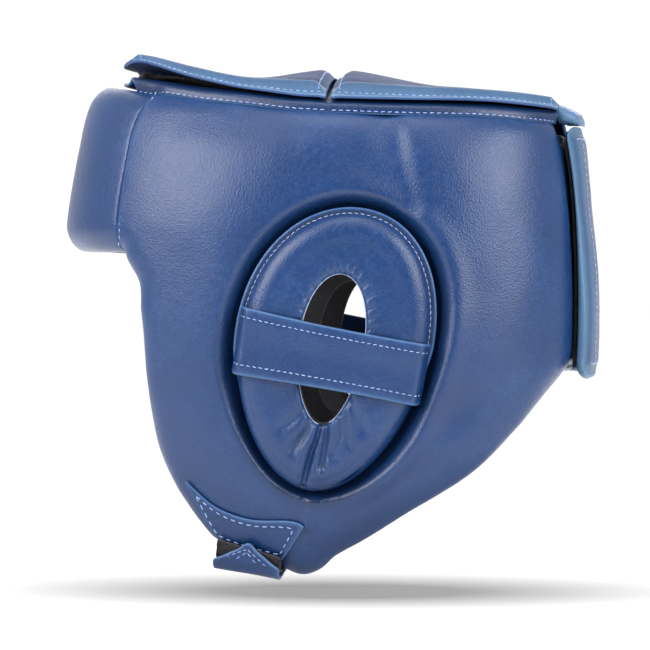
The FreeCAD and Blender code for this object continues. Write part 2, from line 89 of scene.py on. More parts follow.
# ------------------------------------------------------------------ curves and the shell
def along(keys, t):
    """A smooth curve through (t, value) keys, for an array of t."""
    ts, vs = np.array(keys, float).T
    t = np.clip(np.asarray(t, float), ts[0], ts[-1])
    k = np.clip(np.searchsorted(ts, t, side="right") - 1, 0, len(ts) - 2)
    low, high = np.maximum(np.arange(len(ts)) - 1, 0), np.minimum(np.arange(len(ts)) + 1, len(ts) - 1)
    slope = (vs[high] - vs[low]) / (ts[high] - ts[low])
    h = ts[k + 1] - ts[k]
    s = (t - ts[k]) / h
    return (vs[k] * (2 * s**3 - 3 * s**2 + 1) + h * slope[k] * (s**3 - 2 * s**2 + s)
            + vs[k + 1] * (3 * s**2 - 2 * s**3) + h * slope[k + 1] * (s**3 - s**2))


def through(points, t):
    """Places at shares t of a smooth curve through points of any dimension, spaced by their distances."""
    points = np.array(points, float)
    far = np.concatenate([[0], np.cumsum(np.linalg.norm(np.diff(points, axis=0), axis=1))])
    place = np.asarray(t, float) * far[-1]
    return np.stack([along(list(zip(far, column)), place) for column in points.T], -1)


def ease(t):
    t = np.clip(t, 0.0, 1.0)
    return t * t * (3 - 2 * t)


def bell(d, width):
    return np.exp(-((d / width) ** 2))


def shell_place(turn, z):
    turn, z = np.broadcast_arrays(np.asarray(turn, float), np.asarray(z, float))
    s, c = np.sin(np.radians(turn)), np.cos(np.radians(turn))
    reach = np.where(c > 0, along(FRONT_REACH, z), along(REAR_REACH, z))
    n = np.where(c > 0, FRONT_SQUARE, REAR_SQUARE)
    radius = ((np.abs(s) / along(HALF_WIDTH, z)) ** n + (np.abs(c) / reach) ** n) ** (-1 / n)
    return np.stack([radius * s, -radius * c, z], -1)


def unit(v):
    return v / np.maximum(np.linalg.norm(v, axis=-1, keepdims=True), 1e-9)


def shell(turn, z, depth=0.0):
    """Points of the shell at a depth below it, along its normal."""
    step = 0.5
    across = shell_place(np.asarray(turn) + step, z) - shell_place(np.asarray(turn) - step, z)
    up = shell_place(turn, np.asarray(z) + step) - shell_place(turn, np.asarray(z) - step)
    return shell_place(turn, z) - unit(np.cross(across, up)) * np.asarray(depth, float)[..., None]


def turn_of(y, z):
    """The turn of the point (y, z) of the side view, on the wearer's left."""
    y, z = np.broadcast_arrays(np.asarray(y, float), np.asarray(z, float))
    reach = np.where(y < 0, along(FRONT_REACH, z), along(REAR_REACH, z))
    n = np.where(y < 0, FRONT_SQUARE, REAR_SQUARE)
    x = along(HALF_WIDTH, z) * np.maximum(1 - (np.abs(y) / reach) ** n, 1e-9) ** (1 / n)
    return np.degrees(np.arctan2(x, -y))


def flat(points):
    """Points (y, z) of the side view as flat places (millimetres of girth from the ear, height)."""
    points = np.asarray(points, float)
    return np.stack([(turn_of(points[..., 0], points[..., 1]) - 90) * DEG, points[..., 1]], -1)


def on_flat(place, depth=0.0):
    return shell(place[..., 0] / DEG + 90, place[..., 1], np.broadcast_to(depth, place.shape[:-1]))


def oval(centre, half, a, grow=0.0):
    """An ear-shaped oval in the side view, leaning back at the top, at angles a from its top."""
    wide = (half[0] + grow) * np.sin(a) * (1 + EAR_EGG * np.cos(a))
    tall = (half[1] + grow) * np.cos(a)
    return np.stack([centre[0] + wide + EAR_LEAN * tall, centre[1] + tall], -1)


def far_from(points, line):
    """Distance of each point from a polyline, and the share of the line's length at its nearest place."""
    shape = points.shape[:-1]
    p = points.reshape(-1, points.shape[-1])
    best, where = np.full(len(p), 1e9), np.zeros(len(p))
    lengths = np.linalg.norm(np.diff(line, axis=0), axis=1)
    done, total = 0.0, lengths.sum()
    for a, b, length in zip(line[:-1], line[1:], lengths):
        t = np.clip(((p - a) @ (b - a)) / max(length**2, 1e-9), 0, 1)
        d = np.linalg.norm(p - a - t[:, None] * (b - a), axis=1)
        nearer = d < best
        best, where = np.where(nearer, d, best), np.where(nearer, (done + t * length) / total, where)
        done += length
    return best.reshape(shape), where.reshape(shape)


def lumps(points, size, seed):
    """Smooth noise from -1 to 1 at each point, with bumps about that many millimetres across."""
    p = points.reshape(-1, 3) / size
    values = [noise.noise(Vector((a + seed, b, c))) for a, b, c in p]
    return np.array(values).reshape(points.shape[:-1])


# ------------------------------------------------------------------ meshes
EDGE_WEAR = 0.7  # the tint of cut and folded edges


def grid_of(us, vs):
    """Two grids: the first shares down the rows and the second along the columns."""
    return np.meshgrid(us, vs, indexing="ij")


def grid_faces(rows, columns, start=0, wrap=False):
    faces = []
    for i in range(rows - 1):
        for j in range(columns if wrap else columns - 1):
            k = (j + 1) % columns
            a, b = start + i * columns, start + (i + 1) * columns
            faces.append((a + j, a + k, b + k, b + j))
    return faces


def make(name, points, faces, materials, body=None, side=1, slots=None, tint=None):
    """A smooth-shaded piece from points in millimetres. side -1 mirrors it to the wearer's right. slots gives a
    material number to each face, and tint a shade from -1 (deep, painted shade) to 1 (worn, and on the ear band's
    top fold a painted highlight) to each point."""
    points = points.reshape(-1, 3) * MM * np.array([side, 1, 1])
    mesh = bpy.data.meshes.new(name)
    mesh.from_pydata(points.tolist(), [], faces)
    if slots is not None:
        mesh.polygons.foreach_set("material_index", slots)
    if tint is not None:
        mesh.attributes.new("tint", "FLOAT", "POINT").data.foreach_set("value", np.asarray(tint, np.float32).ravel())
    mesh.polygons.foreach_set("use_smooth", [True] * len(faces))
    work = bmesh.new()
    work.from_mesh(mesh)
    bmesh.ops.recalc_face_normals(work, faces=work.faces)
    work.to_mesh(mesh)
    work.free()
    for m in materials if isinstance(materials, (list, tuple)) else [materials]:
        mesh.materials.append(m)
    piece = bpy.data.objects.new(name, mesh)
    bpy.context.scene.collection.objects.link(piece)
    if body:
        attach(piece, body)
    return piece


def normals_of(grid):
    return unit(np.cross(np.gradient(grid, axis=0), np.gradient(grid, axis=1)))


def rim_loop(rows, columns):
    """The border of a grid as (row, column) pairs, once round."""
    loop = [(i, 0) for i in range(rows)] + [(rows - 1, j) for j in range(1, columns)]
    return loop + [(i, columns - 1) for i in range(rows - 2, -1, -1)] + [(0, j) for j in range(columns - 2, 0, -1)]


def plate(name, top, under, materials, body=None, side=1, soften=1.0, tint=None, raw=False):
    """A closed leather piece between two grids, its cut or folded edge rounded. raw gives the edge the second
    material. tint is a grid of shades."""
    rows, columns = top.shape[:2]
    loop = rim_loop(rows, columns)
    i, j = np.array(loop).T
    inner_i, inner_j = np.clip(i, 1, rows - 2), np.clip(j, 1, columns - 2)
    outward = unit(top[i, j] - top[inner_i, inner_j])
    middle, half = (top[i, j] + under[i, j]) / 2, (top[i, j] - under[i, j]) / 2
    steps = (30, 60, 90, 120, 150)
    rings = [middle + half * math.cos(math.radians(a)) + outward * math.sin(math.radians(a)) * soften
             * np.linalg.norm(half, axis=1)[:, None] for a in steps]
    count, n = rows * columns, len(loop)
    points = np.concatenate([top.reshape(-1, 3), under.reshape(-1, 3), *rings])
    faces = grid_faces(rows, columns) + grid_faces(rows, columns, count)
    slots = [0] * len(faces)
    chain = [[r * columns + c for r, c in loop]]
    chain += [[2 * count + k * n + m for m in range(n)] for k in range(len(steps))]
    chain += [[count + r * columns + c for r, c in loop]]
    for a, b in zip(chain, chain[1:]):
        for m in range(n):
            faces.append((a[m], a[(m + 1) % n], b[(m + 1) % n], b[m]))
            slots.append(1 if raw else 0)
    shade = np.zeros(len(points))
    if tint is not None:
        shade[:count] = tint.ravel()
    shade[2 * count :] = EDGE_WEAR
    return make(name, points, faces, materials, body, side, slots, shade)


def at(grid, u, v):
    """Points and normals of a grid at shares u of its rows and v of its columns."""
    u, v = np.broadcast_arrays(u, v)
    normals = normals_of(grid)
    rows, columns = grid.shape[:2]
    a, b = np.clip(u, 0, 1) * (rows - 1), np.clip(v, 0, 1) * (columns - 1)
    i, j = np.minimum(a.astype(int), rows - 2), np.minimum(b.astype(int), columns - 2)
    s, t = (a - i)[:, None], (b - j)[:, None]

    def mixed(g):
        return (g[i, j] * (1 - s) * (1 - t) + g[i + 1, j] * s * (1 - t) + g[i, j + 1] * (1 - s) * t
                + g[i + 1, j + 1] * s * t)

    return mixed(grid), unit(mixed(normals))


def stitches(name, path, normals, body=None, side=1, stitch=2.6, gap=1.1, thick=0.62):
    """A row of thread stitches along a path, each a short fat capsule half sunk in the leather."""
    normals = np.broadcast_to(normals, path.shape)
    far = np.concatenate([[0], np.cumsum(np.linalg.norm(np.diff(path, axis=0), axis=1))])
    count = max(2, int(far[-1] / (stitch + gap)))
    pitch = far[-1] / count
    rings, corners = 7, 6
    points, faces = [], []
    for k in range(count):
        wobble = 0.12 * math.sin(k * 12.9898) * pitch
        start = k * pitch + gap / 2 + wobble * 0.3
        spots = np.linspace(start, start + pitch - gap, rings)
        centre = np.stack([np.interp(spots, far, c) for c in path.T], -1)
        up = unit(np.stack([np.interp(spots, far, c) for c in normals.T], -1))
        ahead = unit(np.gradient(centre, axis=0))
        across = np.cross(up, ahead)
        slant = (np.linspace(-1, 1, rings) * 0.18 * math.cos(k * 7.13))[:, None]
        swell = np.sqrt(np.clip(1 - np.linspace(-1, 1, rings) ** 2, 0.0, 1)) * 0.85 + 0.15
        lift = (swell - 0.75) * thick * 0.55
        for r in range(rings):
            for s in range(corners):
                a = 2 * math.pi * s / corners
                points.append(centre[r] + across[r] * (slant[r] + 0.5 * thick * swell[r] * math.cos(a))
                              + up[r] * (lift[r] + 0.5 * thick * swell[r] * math.sin(a)))
        faces += grid_faces(rings, corners, k * rings * corners, wrap=True)
        base = k * rings * corners
        faces.append(tuple(base + s for s in range(corners)))
        faces.append(tuple(base + (rings - 1) * corners + s for s in reversed(range(corners))))
    return make(name, np.array(points), faces, THREAD, body, side)


def sew(name, grid, u, v, out, body, side, *sizes):
    """Stitches along a grid at shares u and v, on the face of it that looks out."""
    path, above = at(grid, u, v)
    stitches(name, path, above * np.sign((above * out).sum(-1, keepdims=True)), body, side, *sizes)


def stand_for(piece, slot, *nodes, fill=None):
    """The piece takes the place of CAD nodes. fill is not used."""
    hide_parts(*nodes)


def use_second(piece, first, count, chosen=True):
    """The chosen faces of count, from the first on, take the piece's second material."""
    index = np.zeros(len(piece.data.polygons), np.int32)
    piece.data.polygons.foreach_get("material_index", index)
    index[first : first + count][np.broadcast_to(chosen, index[first : first + count].shape)] = 1
    piece.data.polygons.foreach_set("material_index", index)


# ------------------------------------------------------------------ materials
SHEEN_ROUGHNESS, COAT_ROUGHNESS = 0.45, 0.28


def node_of(tree, kind, **values):
    n = tree.nodes.new(kind)
    for key, value in values.items():
        if hasattr(n, key):
            setattr(n, key, value)
        else:
            n.inputs[key.replace("_", " ")].default_value = value
    return n


def texture(tree, kind, **values):
    """A texture node laid out in the piece's own space."""
    n = node_of(tree, "ShaderNodeTex" + kind, **values)
    where = next((k for k in tree.nodes if k.type == "TEX_COORD"), None) or tree.nodes.new("ShaderNodeTexCoord")
    tree.links.new(where.outputs["Object"], n.inputs["Vector"])
    return n


def maths(tree, operation, *values):
    """A maths node on outputs and numbers."""
    n = node_of(tree, "ShaderNodeMath", operation=operation)
    for socket, value in zip(n.inputs, values):
        if isinstance(value, float):
            socket.default_value = value
        else:
            tree.links.new(value, socket)
    return n.outputs[0]


def new_material(name, roughness, specular=0.5, sheen=0.0, coat=0.0):
    m = bpy.data.materials.new(name)
    m.use_nodes = True
    tree = m.node_tree
    tree.nodes.clear()
    out = tree.nodes.new("ShaderNodeOutputMaterial")
    shader = tree.nodes.new("ShaderNodeBsdfPrincipled")
    tree.links.new(shader.outputs[0], out.inputs[0])
    shader.inputs["Roughness"].default_value = roughness
    shader.inputs["Specular IOR Level"].default_value = specular
    shader.inputs["Sheen Weight"].default_value = sheen
    shader.inputs["Sheen Roughness"].default_value = SHEEN_ROUGHNESS
    shader.inputs["Coat Weight"].default_value = coat
    shader.inputs["Coat Roughness"].default_value = COAT_ROUGHNESS
    return m, tree, shader


def ramp(tree, source, stops):
    r = tree.nodes.new("ShaderNodeValToRGB")
    while len(r.color_ramp.elements) < len(stops):
        r.color_ramp.elements.new(0.5)
    for e, (place, colour) in zip(r.color_ramp.elements, stops):
        e.position = place
        e.color = (*colour, 1) if len(colour) == 3 else (*[colour[0]] * 3, 1)
    tree.links.new(source, r.inputs[0])
    return r.outputs[0]


def bumps(tree, shader, layers):
    """Chains bump nodes: (height output, distance in millimetres, strength)."""
    last = None
    for height, distance, strength in layers:
        b = node_of(tree, "ShaderNodeBump", Strength=strength, Distance=distance * MM)
        tree.links.new(height, b.inputs["Height"])
        if last:
            tree.links.new(last, b.inputs["Normal"])
        last = b.outputs[0]
    tree.links.new(last, shader.inputs["Normal"])


def leather(name, deep, plain, worn, roughness=(0.29, 0.43), grain=1.0, specular=0.22):
    """Fine-grained synthetic leather: colour drifts between deep, plain and worn with the piece's tint; deep is painted
    shade. roughness is its span over the mottled surface, and grain the strength of its bumps."""
    m, tree, shader = new_material(name, roughness[0], specular, coat=0.04)
    cloud = texture(tree, "Noise", Scale=28.0, Detail=3.0).outputs["Fac"]
    mottle = texture(tree, "Noise", Scale=420.0, Detail=4.0, Roughness=0.6).outputs["Fac"]
    cells = texture(tree, "Voronoi", Scale=1150.0).outputs["Distance"]
    fine = texture(tree, "Noise", Scale=2300.0, Detail=2.0).outputs["Fac"]
    crease = texture(tree, "Voronoi", Scale=430.0, feature="DISTANCE_TO_EDGE").outputs["Distance"]
    tint = node_of(tree, "ShaderNodeAttribute", attribute_name="tint").outputs["Fac"]
    patchy = maths(tree, "MULTIPLY_ADD", mottle, 0.3, maths(tree, "MULTIPLY_ADD", cloud, 0.34, 0.16))
    shade = maths(tree, "MULTIPLY_ADD", tint, 0.5, patchy)
    tree.links.new(ramp(tree, shade, [(0.0, deep), (0.5, plain), (1.0, worn)]), shader.inputs["Base Color"])
    tree.links.new(ramp(tree, mottle, [(0.3, (roughness[0],)), (0.75, (roughness[1],))]), shader.inputs["Roughness"])
    bumps(tree, shader, [(crease, 0.35, 0.10 * grain), (cells, 0.45, 0.30 * grain), (fine, 0.3, 0.12 * grain),
                         (mottle, 0.6, 0.06 * grain)])
    return m


def fabric(name, dark, light, scale, roughness, fuzz):
    """Black cloth or tape: a crossed weave with fuzz."""
    m, tree, shader = new_material(name, roughness, 0.2, sheen=0.06)
    fluff = texture(tree, "Noise", Scale=scale * 1.7, Detail=4.0, Roughness=0.7).outputs["Fac"]
    broad = texture(tree, "Noise", Scale=60.0, Detail=2.0).outputs["Fac"]
    warp, weft = (texture(tree, "Wave", Scale=scale, Distortion=2.0, bands_direction=k).outputs["Fac"] for k in "XZ")
    mixed = maths(tree, "MULTIPLY_ADD", broad, 0.4, fluff)
    tree.links.new(ramp(tree, mixed, [(0.45, dark), (0.95, light)]), shader.inputs["Base Color"])
    bumps(tree, shader, [(maths(tree, "MULTIPLY", warp, weft), 0.3, 0.5 * fuzz), (fluff, 1.0, fuzz)])
    return m


def thread_material():
    m, tree, shader = new_material("thread", 0.55, 0.35, sheen=0.25)
    twist = texture(tree, "Wave", Scale=900.0, Distortion=1.5, bands_direction="DIAGONAL").outputs["Fac"]
    spread = texture(tree, "Noise", Scale=140.0).outputs["Fac"]
    colours = ramp(tree, spread, [(0.3, (0.07, 0.12, 0.27)), (0.7, (0.14, 0.22, 0.41))])
    tree.links.new(colours, shader.inputs["Base Color"])
    bumps(tree, shader, [(twist, 0.2, 0.6)])
    return m


BLUE = leather("blue_leather", (0.001, 0.005, 0.018), (0.003, 0.016, 0.057), (0.018, 0.054, 0.130))
BAND_BLUE = leather("margin_leather", (0.003, 0.010, 0.028), (0.012, 0.038, 0.082), (0.038, 0.088, 0.150), (0.4, 0.55))
EDGE_BLUE = leather("edge_leather", (0.002, 0.007, 0.022), (0.008, 0.027, 0.075), (0.028, 0.065, 0.135), (0.4, 0.55))
CROWN_BLUE = leather("crown_leather", (0.001, 0.004, 0.016), (0.005, 0.015, 0.048), (0.016, 0.040, 0.105), (0.6, 0.75),
                     1.0, 0.15)
RAW = leather("raw_edge", (0.05, 0.07, 0.13), (0.20, 0.23, 0.33), (0.42, 0.44, 0.52), (0.6, 0.8), 1.5, 0.25)
LINING = fabric("black_lining", (0.002, 0.002, 0.003), (0.011, 0.011, 0.013), 900.0, 0.8, 0.25)
TAPE = fabric("hook_and_loop", (0.002, 0.002, 0.002), (0.016, 0.016, 0.018), 700.0, 0.85, 0.9)
THREAD = thread_material()


# ------------------------------------------------------------------ side panels
def panel_outline(step=2.1):
    """The panel's flat outline once round, and its five sides: face edge, seam, top, rear, bottom."""
    front = np.array(CHEEK_FRONT + SEAM, float)
    lengths = np.linalg.norm(np.diff(front, axis=0), axis=1)
    split = lengths[: len(CHEEK_FRONT)].sum() / lengths.sum()
    parts = []
    # Each side: its points, the first and last share of them, and how far the leather swells out along it.
    for points, first, last, swell in (
        (front, 0, split, (5.0, 7.5, 7.5, 7.0, 6.5, 0)),
        (front, split, 1, (0, 0)),
        (PANEL_TOP, 0, 1, (0, 0)),
        (PANEL_REAR[::-1], 0, 1, (0, 0, 0, 2)),
        (PANEL_BOTTOM[::-1], 0, 1, (2, 5.5, 6.0, 6.0, 6.0, 5.5, 5.5, 5.0)),
    ):
        size = np.linalg.norm(np.diff(np.array(points, float), axis=0), axis=1).sum() * (last - first)
        share = np.linspace(0, 1, int(size / step) + 2)
        line = flat(through(points, first + (last - first) * share))
        ahead = unit(np.gradient(line, axis=0))
        swollen = np.interp(share, np.linspace(0, 1, len(swell)), swell)[:, None]
        parts.append(line + np.stack([-ahead[:, 1], ahead[:, 0]], -1) * swollen)
    ends = [(parts[k][-1] + parts[(k + 1) % 5][0]) / 2 for k in range(5)]
    for k in range(5):
        parts[k][-1] = parts[(k + 1) % 5][0] = ends[k]
    return parts


SIDES = panel_outline()
OUTLINE = np.concatenate([p[:-1] for p in SIDES])
OUTLINE_LOOP = np.concatenate([OUTLINE, OUTLINE[:1]])
# How each side of the outline rounds over: how far in it starts, and how deep it is at the edge.
ROUNDING = [(15.0, 10.0), (3.0, 0.6), (10.0, 4.5), (7.0, 5.0), (17.0, 11.0)]


def ear_ring(centre, half, grow=0.0):
    """Flat points of an oval, one on each spoke from the ear's centre to the outline's points."""
    a = np.linspace(0, 2 * math.pi, 721)
    points = flat(oval(centre, half, a, grow))
    middle = flat(np.array(EAR_CENTRE))
    angles = np.unwrap(np.arctan2(points[:, 1] - middle[1], points[:, 0] - middle[0]))
    wanted = np.arctan2(OUTLINE[:, 1] - middle[1], OUTLINE[:, 0] - middle[0])
    order = np.argsort(angles)
    low = angles[order][0]
    wanted = low + np.mod(wanted - low, 2 * math.pi)
    return np.stack([np.interp(wanted, angles[order], points[order, k]) for k in (0, 1)], -1)


PAD_RING = ear_ring(PAD_CENTRE, PAD_HALF)
PAD_LOOP = np.concatenate([PAD_RING, PAD_RING[:1]])


def spokes(inner, near_inner, near_outer, between):
    """Flat points on rings from an inner ring out to the outline, close together at both ends."""
    length = np.linalg.norm(OUTLINE - inner, axis=1)
    rings = [d / length for d in near_inner]
    start, end = near_inner[-1] / length, 1 - near_outer[0] / length
    rings += [start + (end - start) * k / between for k in range(1, between)]
    rings += [1 - d / length for d in near_outer]
    return np.stack([inner + (OUTLINE - inner) * s[:, None] for s in rings])


def rounded(edges):
    """Depth by which a piece rounds over near its edges: (distances, how far in it starts, depth at the edge) each."""
    total = 0
    for d, reach, deep in edges:
        total = total + (deep * (1 - np.sqrt(1 - (1 - np.clip(d / reach, 0, 1)) ** 2 * 0.999))) ** 3
    return total ** (1 / 3)


def panel_depth(places):
    """Depth of the panel's leather: rounded edges, the slope into the ear recess, and the soft creases."""
    depth = rounded([(far_from(places, line)[0], *edge) for line, edge in zip(SIDES, ROUNDING)])
    d = far_from(places, PAD_LOOP)[0]
    middle = flat(np.array(EAR_CENTRE))
    turn = np.arctan2(places[..., 0] - middle[0], places[..., 1] - middle[1])

    def around(at, spread):
        """A soft rise near one angle round the ear, with no step where the angles wrap."""
        return bell((turn - at + math.pi) % (2 * math.pi) - math.pi, spread)

    # the slope into the recess, with a soft lip behind the ear and a shallow dip elsewhere
    wide = 11.5 - 3.0 * around(1.8, 0.9) - 5.5 * around(-2.5, 0.6) - 5.0 * around(3.14, 0.5)
    depth = depth + 12.5 * (1 - ease((d + 1.0) / wide)) ** 1.25
    rear = around(1.7, 1.0) + 0.8 * around(2.6, 0.4)
    depth = depth - 2.2 * rear * bell(d - wide - 0.5, 4.5) + 1.8 * (1 - np.clip(rear, 0, 1)) * bell(d, wide + 5)
    depth = depth + 1.0 * around(0.2, 0.5) * bell(d - 22, 14)
    # the crease above the ear, sharper on its front side
    crease = flat(np.array([(29.5, 96), (31.5, 80), (36.6, 61)]))
    e, share = far_from(places, crease)
    past = places[..., 0] - np.interp(places[..., 1], crease[::-1, 1], crease[::-1, 0])
    depth = depth + 2.8 * bell(e, 10 - 3.5 * np.tanh(past / 7)) * (1 - 0.3 * share)
    depth = depth + 0.9 * bell(far_from(places, flat(np.array([(37.5, 60), (42, 57)])))[0], 4)
    # the fold at the jaw, and a few broad hollows and swells
    jaw = flat(np.array([(-10.0, -86), (-10.8, -92), (-12.5, -99)]))
    depth = depth - 1.2 * bell(far_from(places, jaw)[0], 2.4) + 0.7 * bell(far_from(places, jaw - [5, 0])[0], 3.0)
    for start, end, deep, spread in (
        ((60, -45), (84, -28), 0.9, 9), ((52, -62), (70, -50), -0.7, 8), ((-70, 100), (-20, 94), 0.6, 9),
        ((-78, -20), (-72, 30), 0.5, 13), ((75, 20), (100, 60), 0.5, 16), ((8, 96), (16, 76), 0.6, 9),
    ):
        depth = depth + deep * bell(far_from(places, flat(np.array([start, end], float)))[0], spread)
    return depth


def side_panel(name, side):
    """One side's cover, down into the ear recess, and its lining with the ear hole's tube."""
    near = [0, 1, 2, 3, 4, 5, 6, 7, 8, 9, 10, 11.2, 12.5, 14, 16, 18.5]
    edge = [17, 14.5, 12.5, 10.5, 9, 7.5, 6.2, 5, 4, 3.1, 2.3, 1.6, 1.0, 0.55, 0.2, 0.0]
    places = spokes(ear_ring(PAD_CENTRE, PAD_HALF, -4.0), near, edge, 26)
    depth = panel_depth(places)
    top = on_flat(places, depth)
    depth = depth - 0.35 * lumps(top, 34, 3.1) - 0.12 * lumps(top, 11, 7.7)
    last = depth[-1]
    wall = [on_flat(OUTLINE, last + (SIDE_THICK - 2.5 - last) * s) for s in (0.2, 0.45, 0.7, 0.88, 1.0)]
    n = len(OUTLINE)
    points = np.concatenate([on_flat(places, depth), np.stack(wall)])
    # Worn lighter along the outline, and painted shade in the groove round the ear pad.
    tint = 0.25 * bell(far_from(places, OUTLINE_LOOP)[0], 3) - 0.7 * (1 - ease((far_from(places, PAD_LOOP)[0] - 1) / 8))
    tint = np.concatenate([tint.ravel(), np.zeros(len(wall) * n)])
    cover = make(f"{name}_panel_cover", points, grid_faces(len(points), n, wrap=True), BLUE, "helmet", side, tint=tint)
    stand_for(cover, "leather", f"{name}_side_cover", f"{name}_side_outer_foam", f"{name}_ear_recess_floor", fill=0.75)

    hole = ear_ring(INNER_HOLE_CENTRE, INNER_HOLE_HALF)
    pad_hole = ear_ring(HOLE_CENTRE, HOLE_HALF, 0.6)
    near = [0, 1.5, 3.5, 6, 9]
    places = spokes(hole, near, [12, 9, 6.5, 4.5, 3, 1.8, 0.8, 0.1], 22)
    out = far_from(places, OUTLINE_LOOP)[0]
    hole_d = np.concatenate([near, np.full(len(places) - 5, 20)])[:, None]
    depth = SIDE_THICK - 4.5 * (1 - np.clip(out / 9, 0, 1)) ** 2.2 - 2.5 * (1 - np.clip(hole_d / 6, 0, 1)) ** 2
    depth = depth + 0.5 * lumps(on_flat(places, depth), 28, 5.3)
    tube = [on_flat(pad_hole, 3.4), on_flat(pad_hole, 8), on_flat(pad_hole, 12.5), on_flat(hole, 14.5)]
    points = np.concatenate([np.stack(tube), on_flat(places, depth), on_flat(OUTLINE, SIDE_THICK - 4.9)[None]])
    lining = make(f"{name}_panel_lining", points, grid_faces(len(points), n, wrap=True), LINING, "helmet", side)
    stand_for(lining, "lining", f"{name}_side_lining", f"{name}_side_inner_foam")


# ------------------------------------------------------------------ ear pads and their bands
def ear_pad(name, side):
    """The oval pad: rings from under its border, over the padded face, to the lining of the ear hole."""
    n = 420
    a = np.linspace(0, 2 * math.pi, n, endpoint=False)
    outer, inner = oval(PAD_CENTRE, PAD_HALF, a), oval(HOLE_CENTRE, HOLE_HALF, a)
    span = np.linalg.norm(inner - outer, axis=1)
    # (millimetres in from the border, depth) of each ring; the lower border is rolled, the upper one has a piped edge
    rows = [(0.6, 12.2), (0.0, 9.5), (-0.4, 7.0), (-0.1, 5.2), (-0.7, 4.9), (-1.15, 4.5), (-1.2, 4.0), (-0.9, 3.6),
            (-0.2, 3.5), (0.6, 3.6), (1.3, 3.9), (1.8, 4.0), (2.3, 3.8)]
    rise = [(2.3, 3.8), (3.2, 2.5), (4.4, 1.3), (6.0, 0.25), (8.0, -0.55), (10.5, -0.95), (13.5, -0.8), (18, -0.1),
            (30, 0.7)]
    rows += [(x, float(along(rise, x))) for x in np.concatenate([np.arange(2.7, 8, 0.45), np.arange(8.2, 29, 0.7)])]
    flat_rows = len(rows)
    rolled = sum(x < 8 for x, _ in rows)
    lower = 1 - ease((np.cos(a) + 0.30) / 0.35)
    places, depths = [], []
    for k, (x, deep) in enumerate(rows):
        corner = math.pi / 2 * max(0, k - 1) / (rolled - 2)
        x_low, deep_low = (8 * (1 - math.cos(corner)), 9.5 - 10.0 * math.sin(corner)) if 0 < k < rolled else (x, deep)
        x_here = x + (x_low - x) * lower
        places.append(outer + (inner - outer) * np.minimum(x_here / span, 1 - 3.0 / span)[:, None])
        depths.append(deep + (deep_low - deep) * lower)
    for back, deep in ((2.5, 0.8), (1.9, 0.95), (1.3, 1.25), (0.8, 1.7), (0.4, 2.3), (0.15, 3.0),
                       (-0.15, 3.3), (0.1, 4.6), (0.6, 5.0), (0.5, 11.5)):
        places.append(outer + (inner - outer) * (1 - back / span)[:, None])
        depths.append(np.full(n, deep))
    places, depth = np.stack(places), np.stack(depths)
    to_hole = np.linalg.norm(places - inner, axis=-1)
    face = np.zeros((len(places), 1))
    face[12 : flat_rows + 6] = 1
    top_half = ease((np.cos(a) + 0.25) / 0.8)
    pucker = np.abs(np.sin(a * 19 + 1.1 * np.sin(a * 5)))
    depth = depth + face * top_half * bell(to_hole, 4.5) * (0.9 * (1 - pucker) ** 2 - 0.25)
    # the creases below the ear hole: line, depth, width, and the ridges beside it
    for line, deep, wide, ridge in (
        ([(-4.2, -46), (-5.8, -54), (-9.0, -62), (-11.4, -70), (-15.0, -84)], 3.0, 1.5, 1.5),
        ([(-1.5, -47), (-2.2, -56), (-4.5, -69)], 3.4, 1.7, 1.3),
        ([(-6.5, -42), (-12, -53), (-18.5, -61)], 2.2, 2.0, 1.1),
        ([(4.2, -44), (4.5, -54), (1.0, -63)], 1.9, 2.2, 1.0),
        ([(8.0, -34), (12.5, -44), (16.5, -51)], 1.3, 2.0, 0.8),
        ([(7.0, -38), (9.0, -50), (9, -58)], 1.1, 1.9, 0.7),
        ([(-9.5, -38), (-17, -46), (-24, -50)], 1.1, 2.2, 0.6),
    ):
        d, share = far_from(places, np.array(line, float))
        fade = 1 - 0.6 * share
        depth = depth + face * fade * (deep * bell(d, wide) - ridge * bell(d - 2.6 * wide, 1.6 * wide))
    pinch = bell(places[..., 0] + 3.5, 9) * bell(places[..., 1] + 50, 14)
    depth = depth + face * 1.6 * pinch
    place = flat(places)
    point = on_flat(place, depth)
    point = on_flat(place, depth - face * (0.22 * lumps(point, 15, 1.7) + 0.10 * lumps(point, 6, 4.4)))
    # Painted shade under the pad's border and in the groove inside its upper piping; the piping is lighter along the
    # top and darker along the rolled lower border, and the hole's rim is lighter.
    tint = np.zeros(depth.shape)
    tint[:9] = -0.35
    tint[5:9] = 0.6 - 0.9 * lower
    tint[9:13] = -0.6 * (1 - lower)
    tint = tint + 0.35 * face * bell(to_hole, 2.0)
    faces = grid_faces(len(places), n, wrap=True)
    slots = np.zeros(len(faces), int)
    slots[(flat_rows + 5) * n : (flat_rows + 8) * n] = 1
    slots[(flat_rows + 8) * n :] = 2
    pad = make(f"{name}_ear_pad_leather", point, faces, [BLUE, RAW, LINING], "helmet", side, slots.tolist(), tint)
    stand_for(pad, "leather", f"{name}_ear_pad_cover", f"{name}_ear_pad_foam", fill=0.8)
    place = flat(oval(PAD_CENTRE, PAD_HALF, np.radians(np.linspace(-74, 90, 300)), -1.9))
    path, above = on_flat(place, 3.75), on_flat(place, 0.75)
    stitches(f"{name}_ear_pad_stitches", path, unit(above - path), "helmet", side, 2.1, 0.9, 0.5)


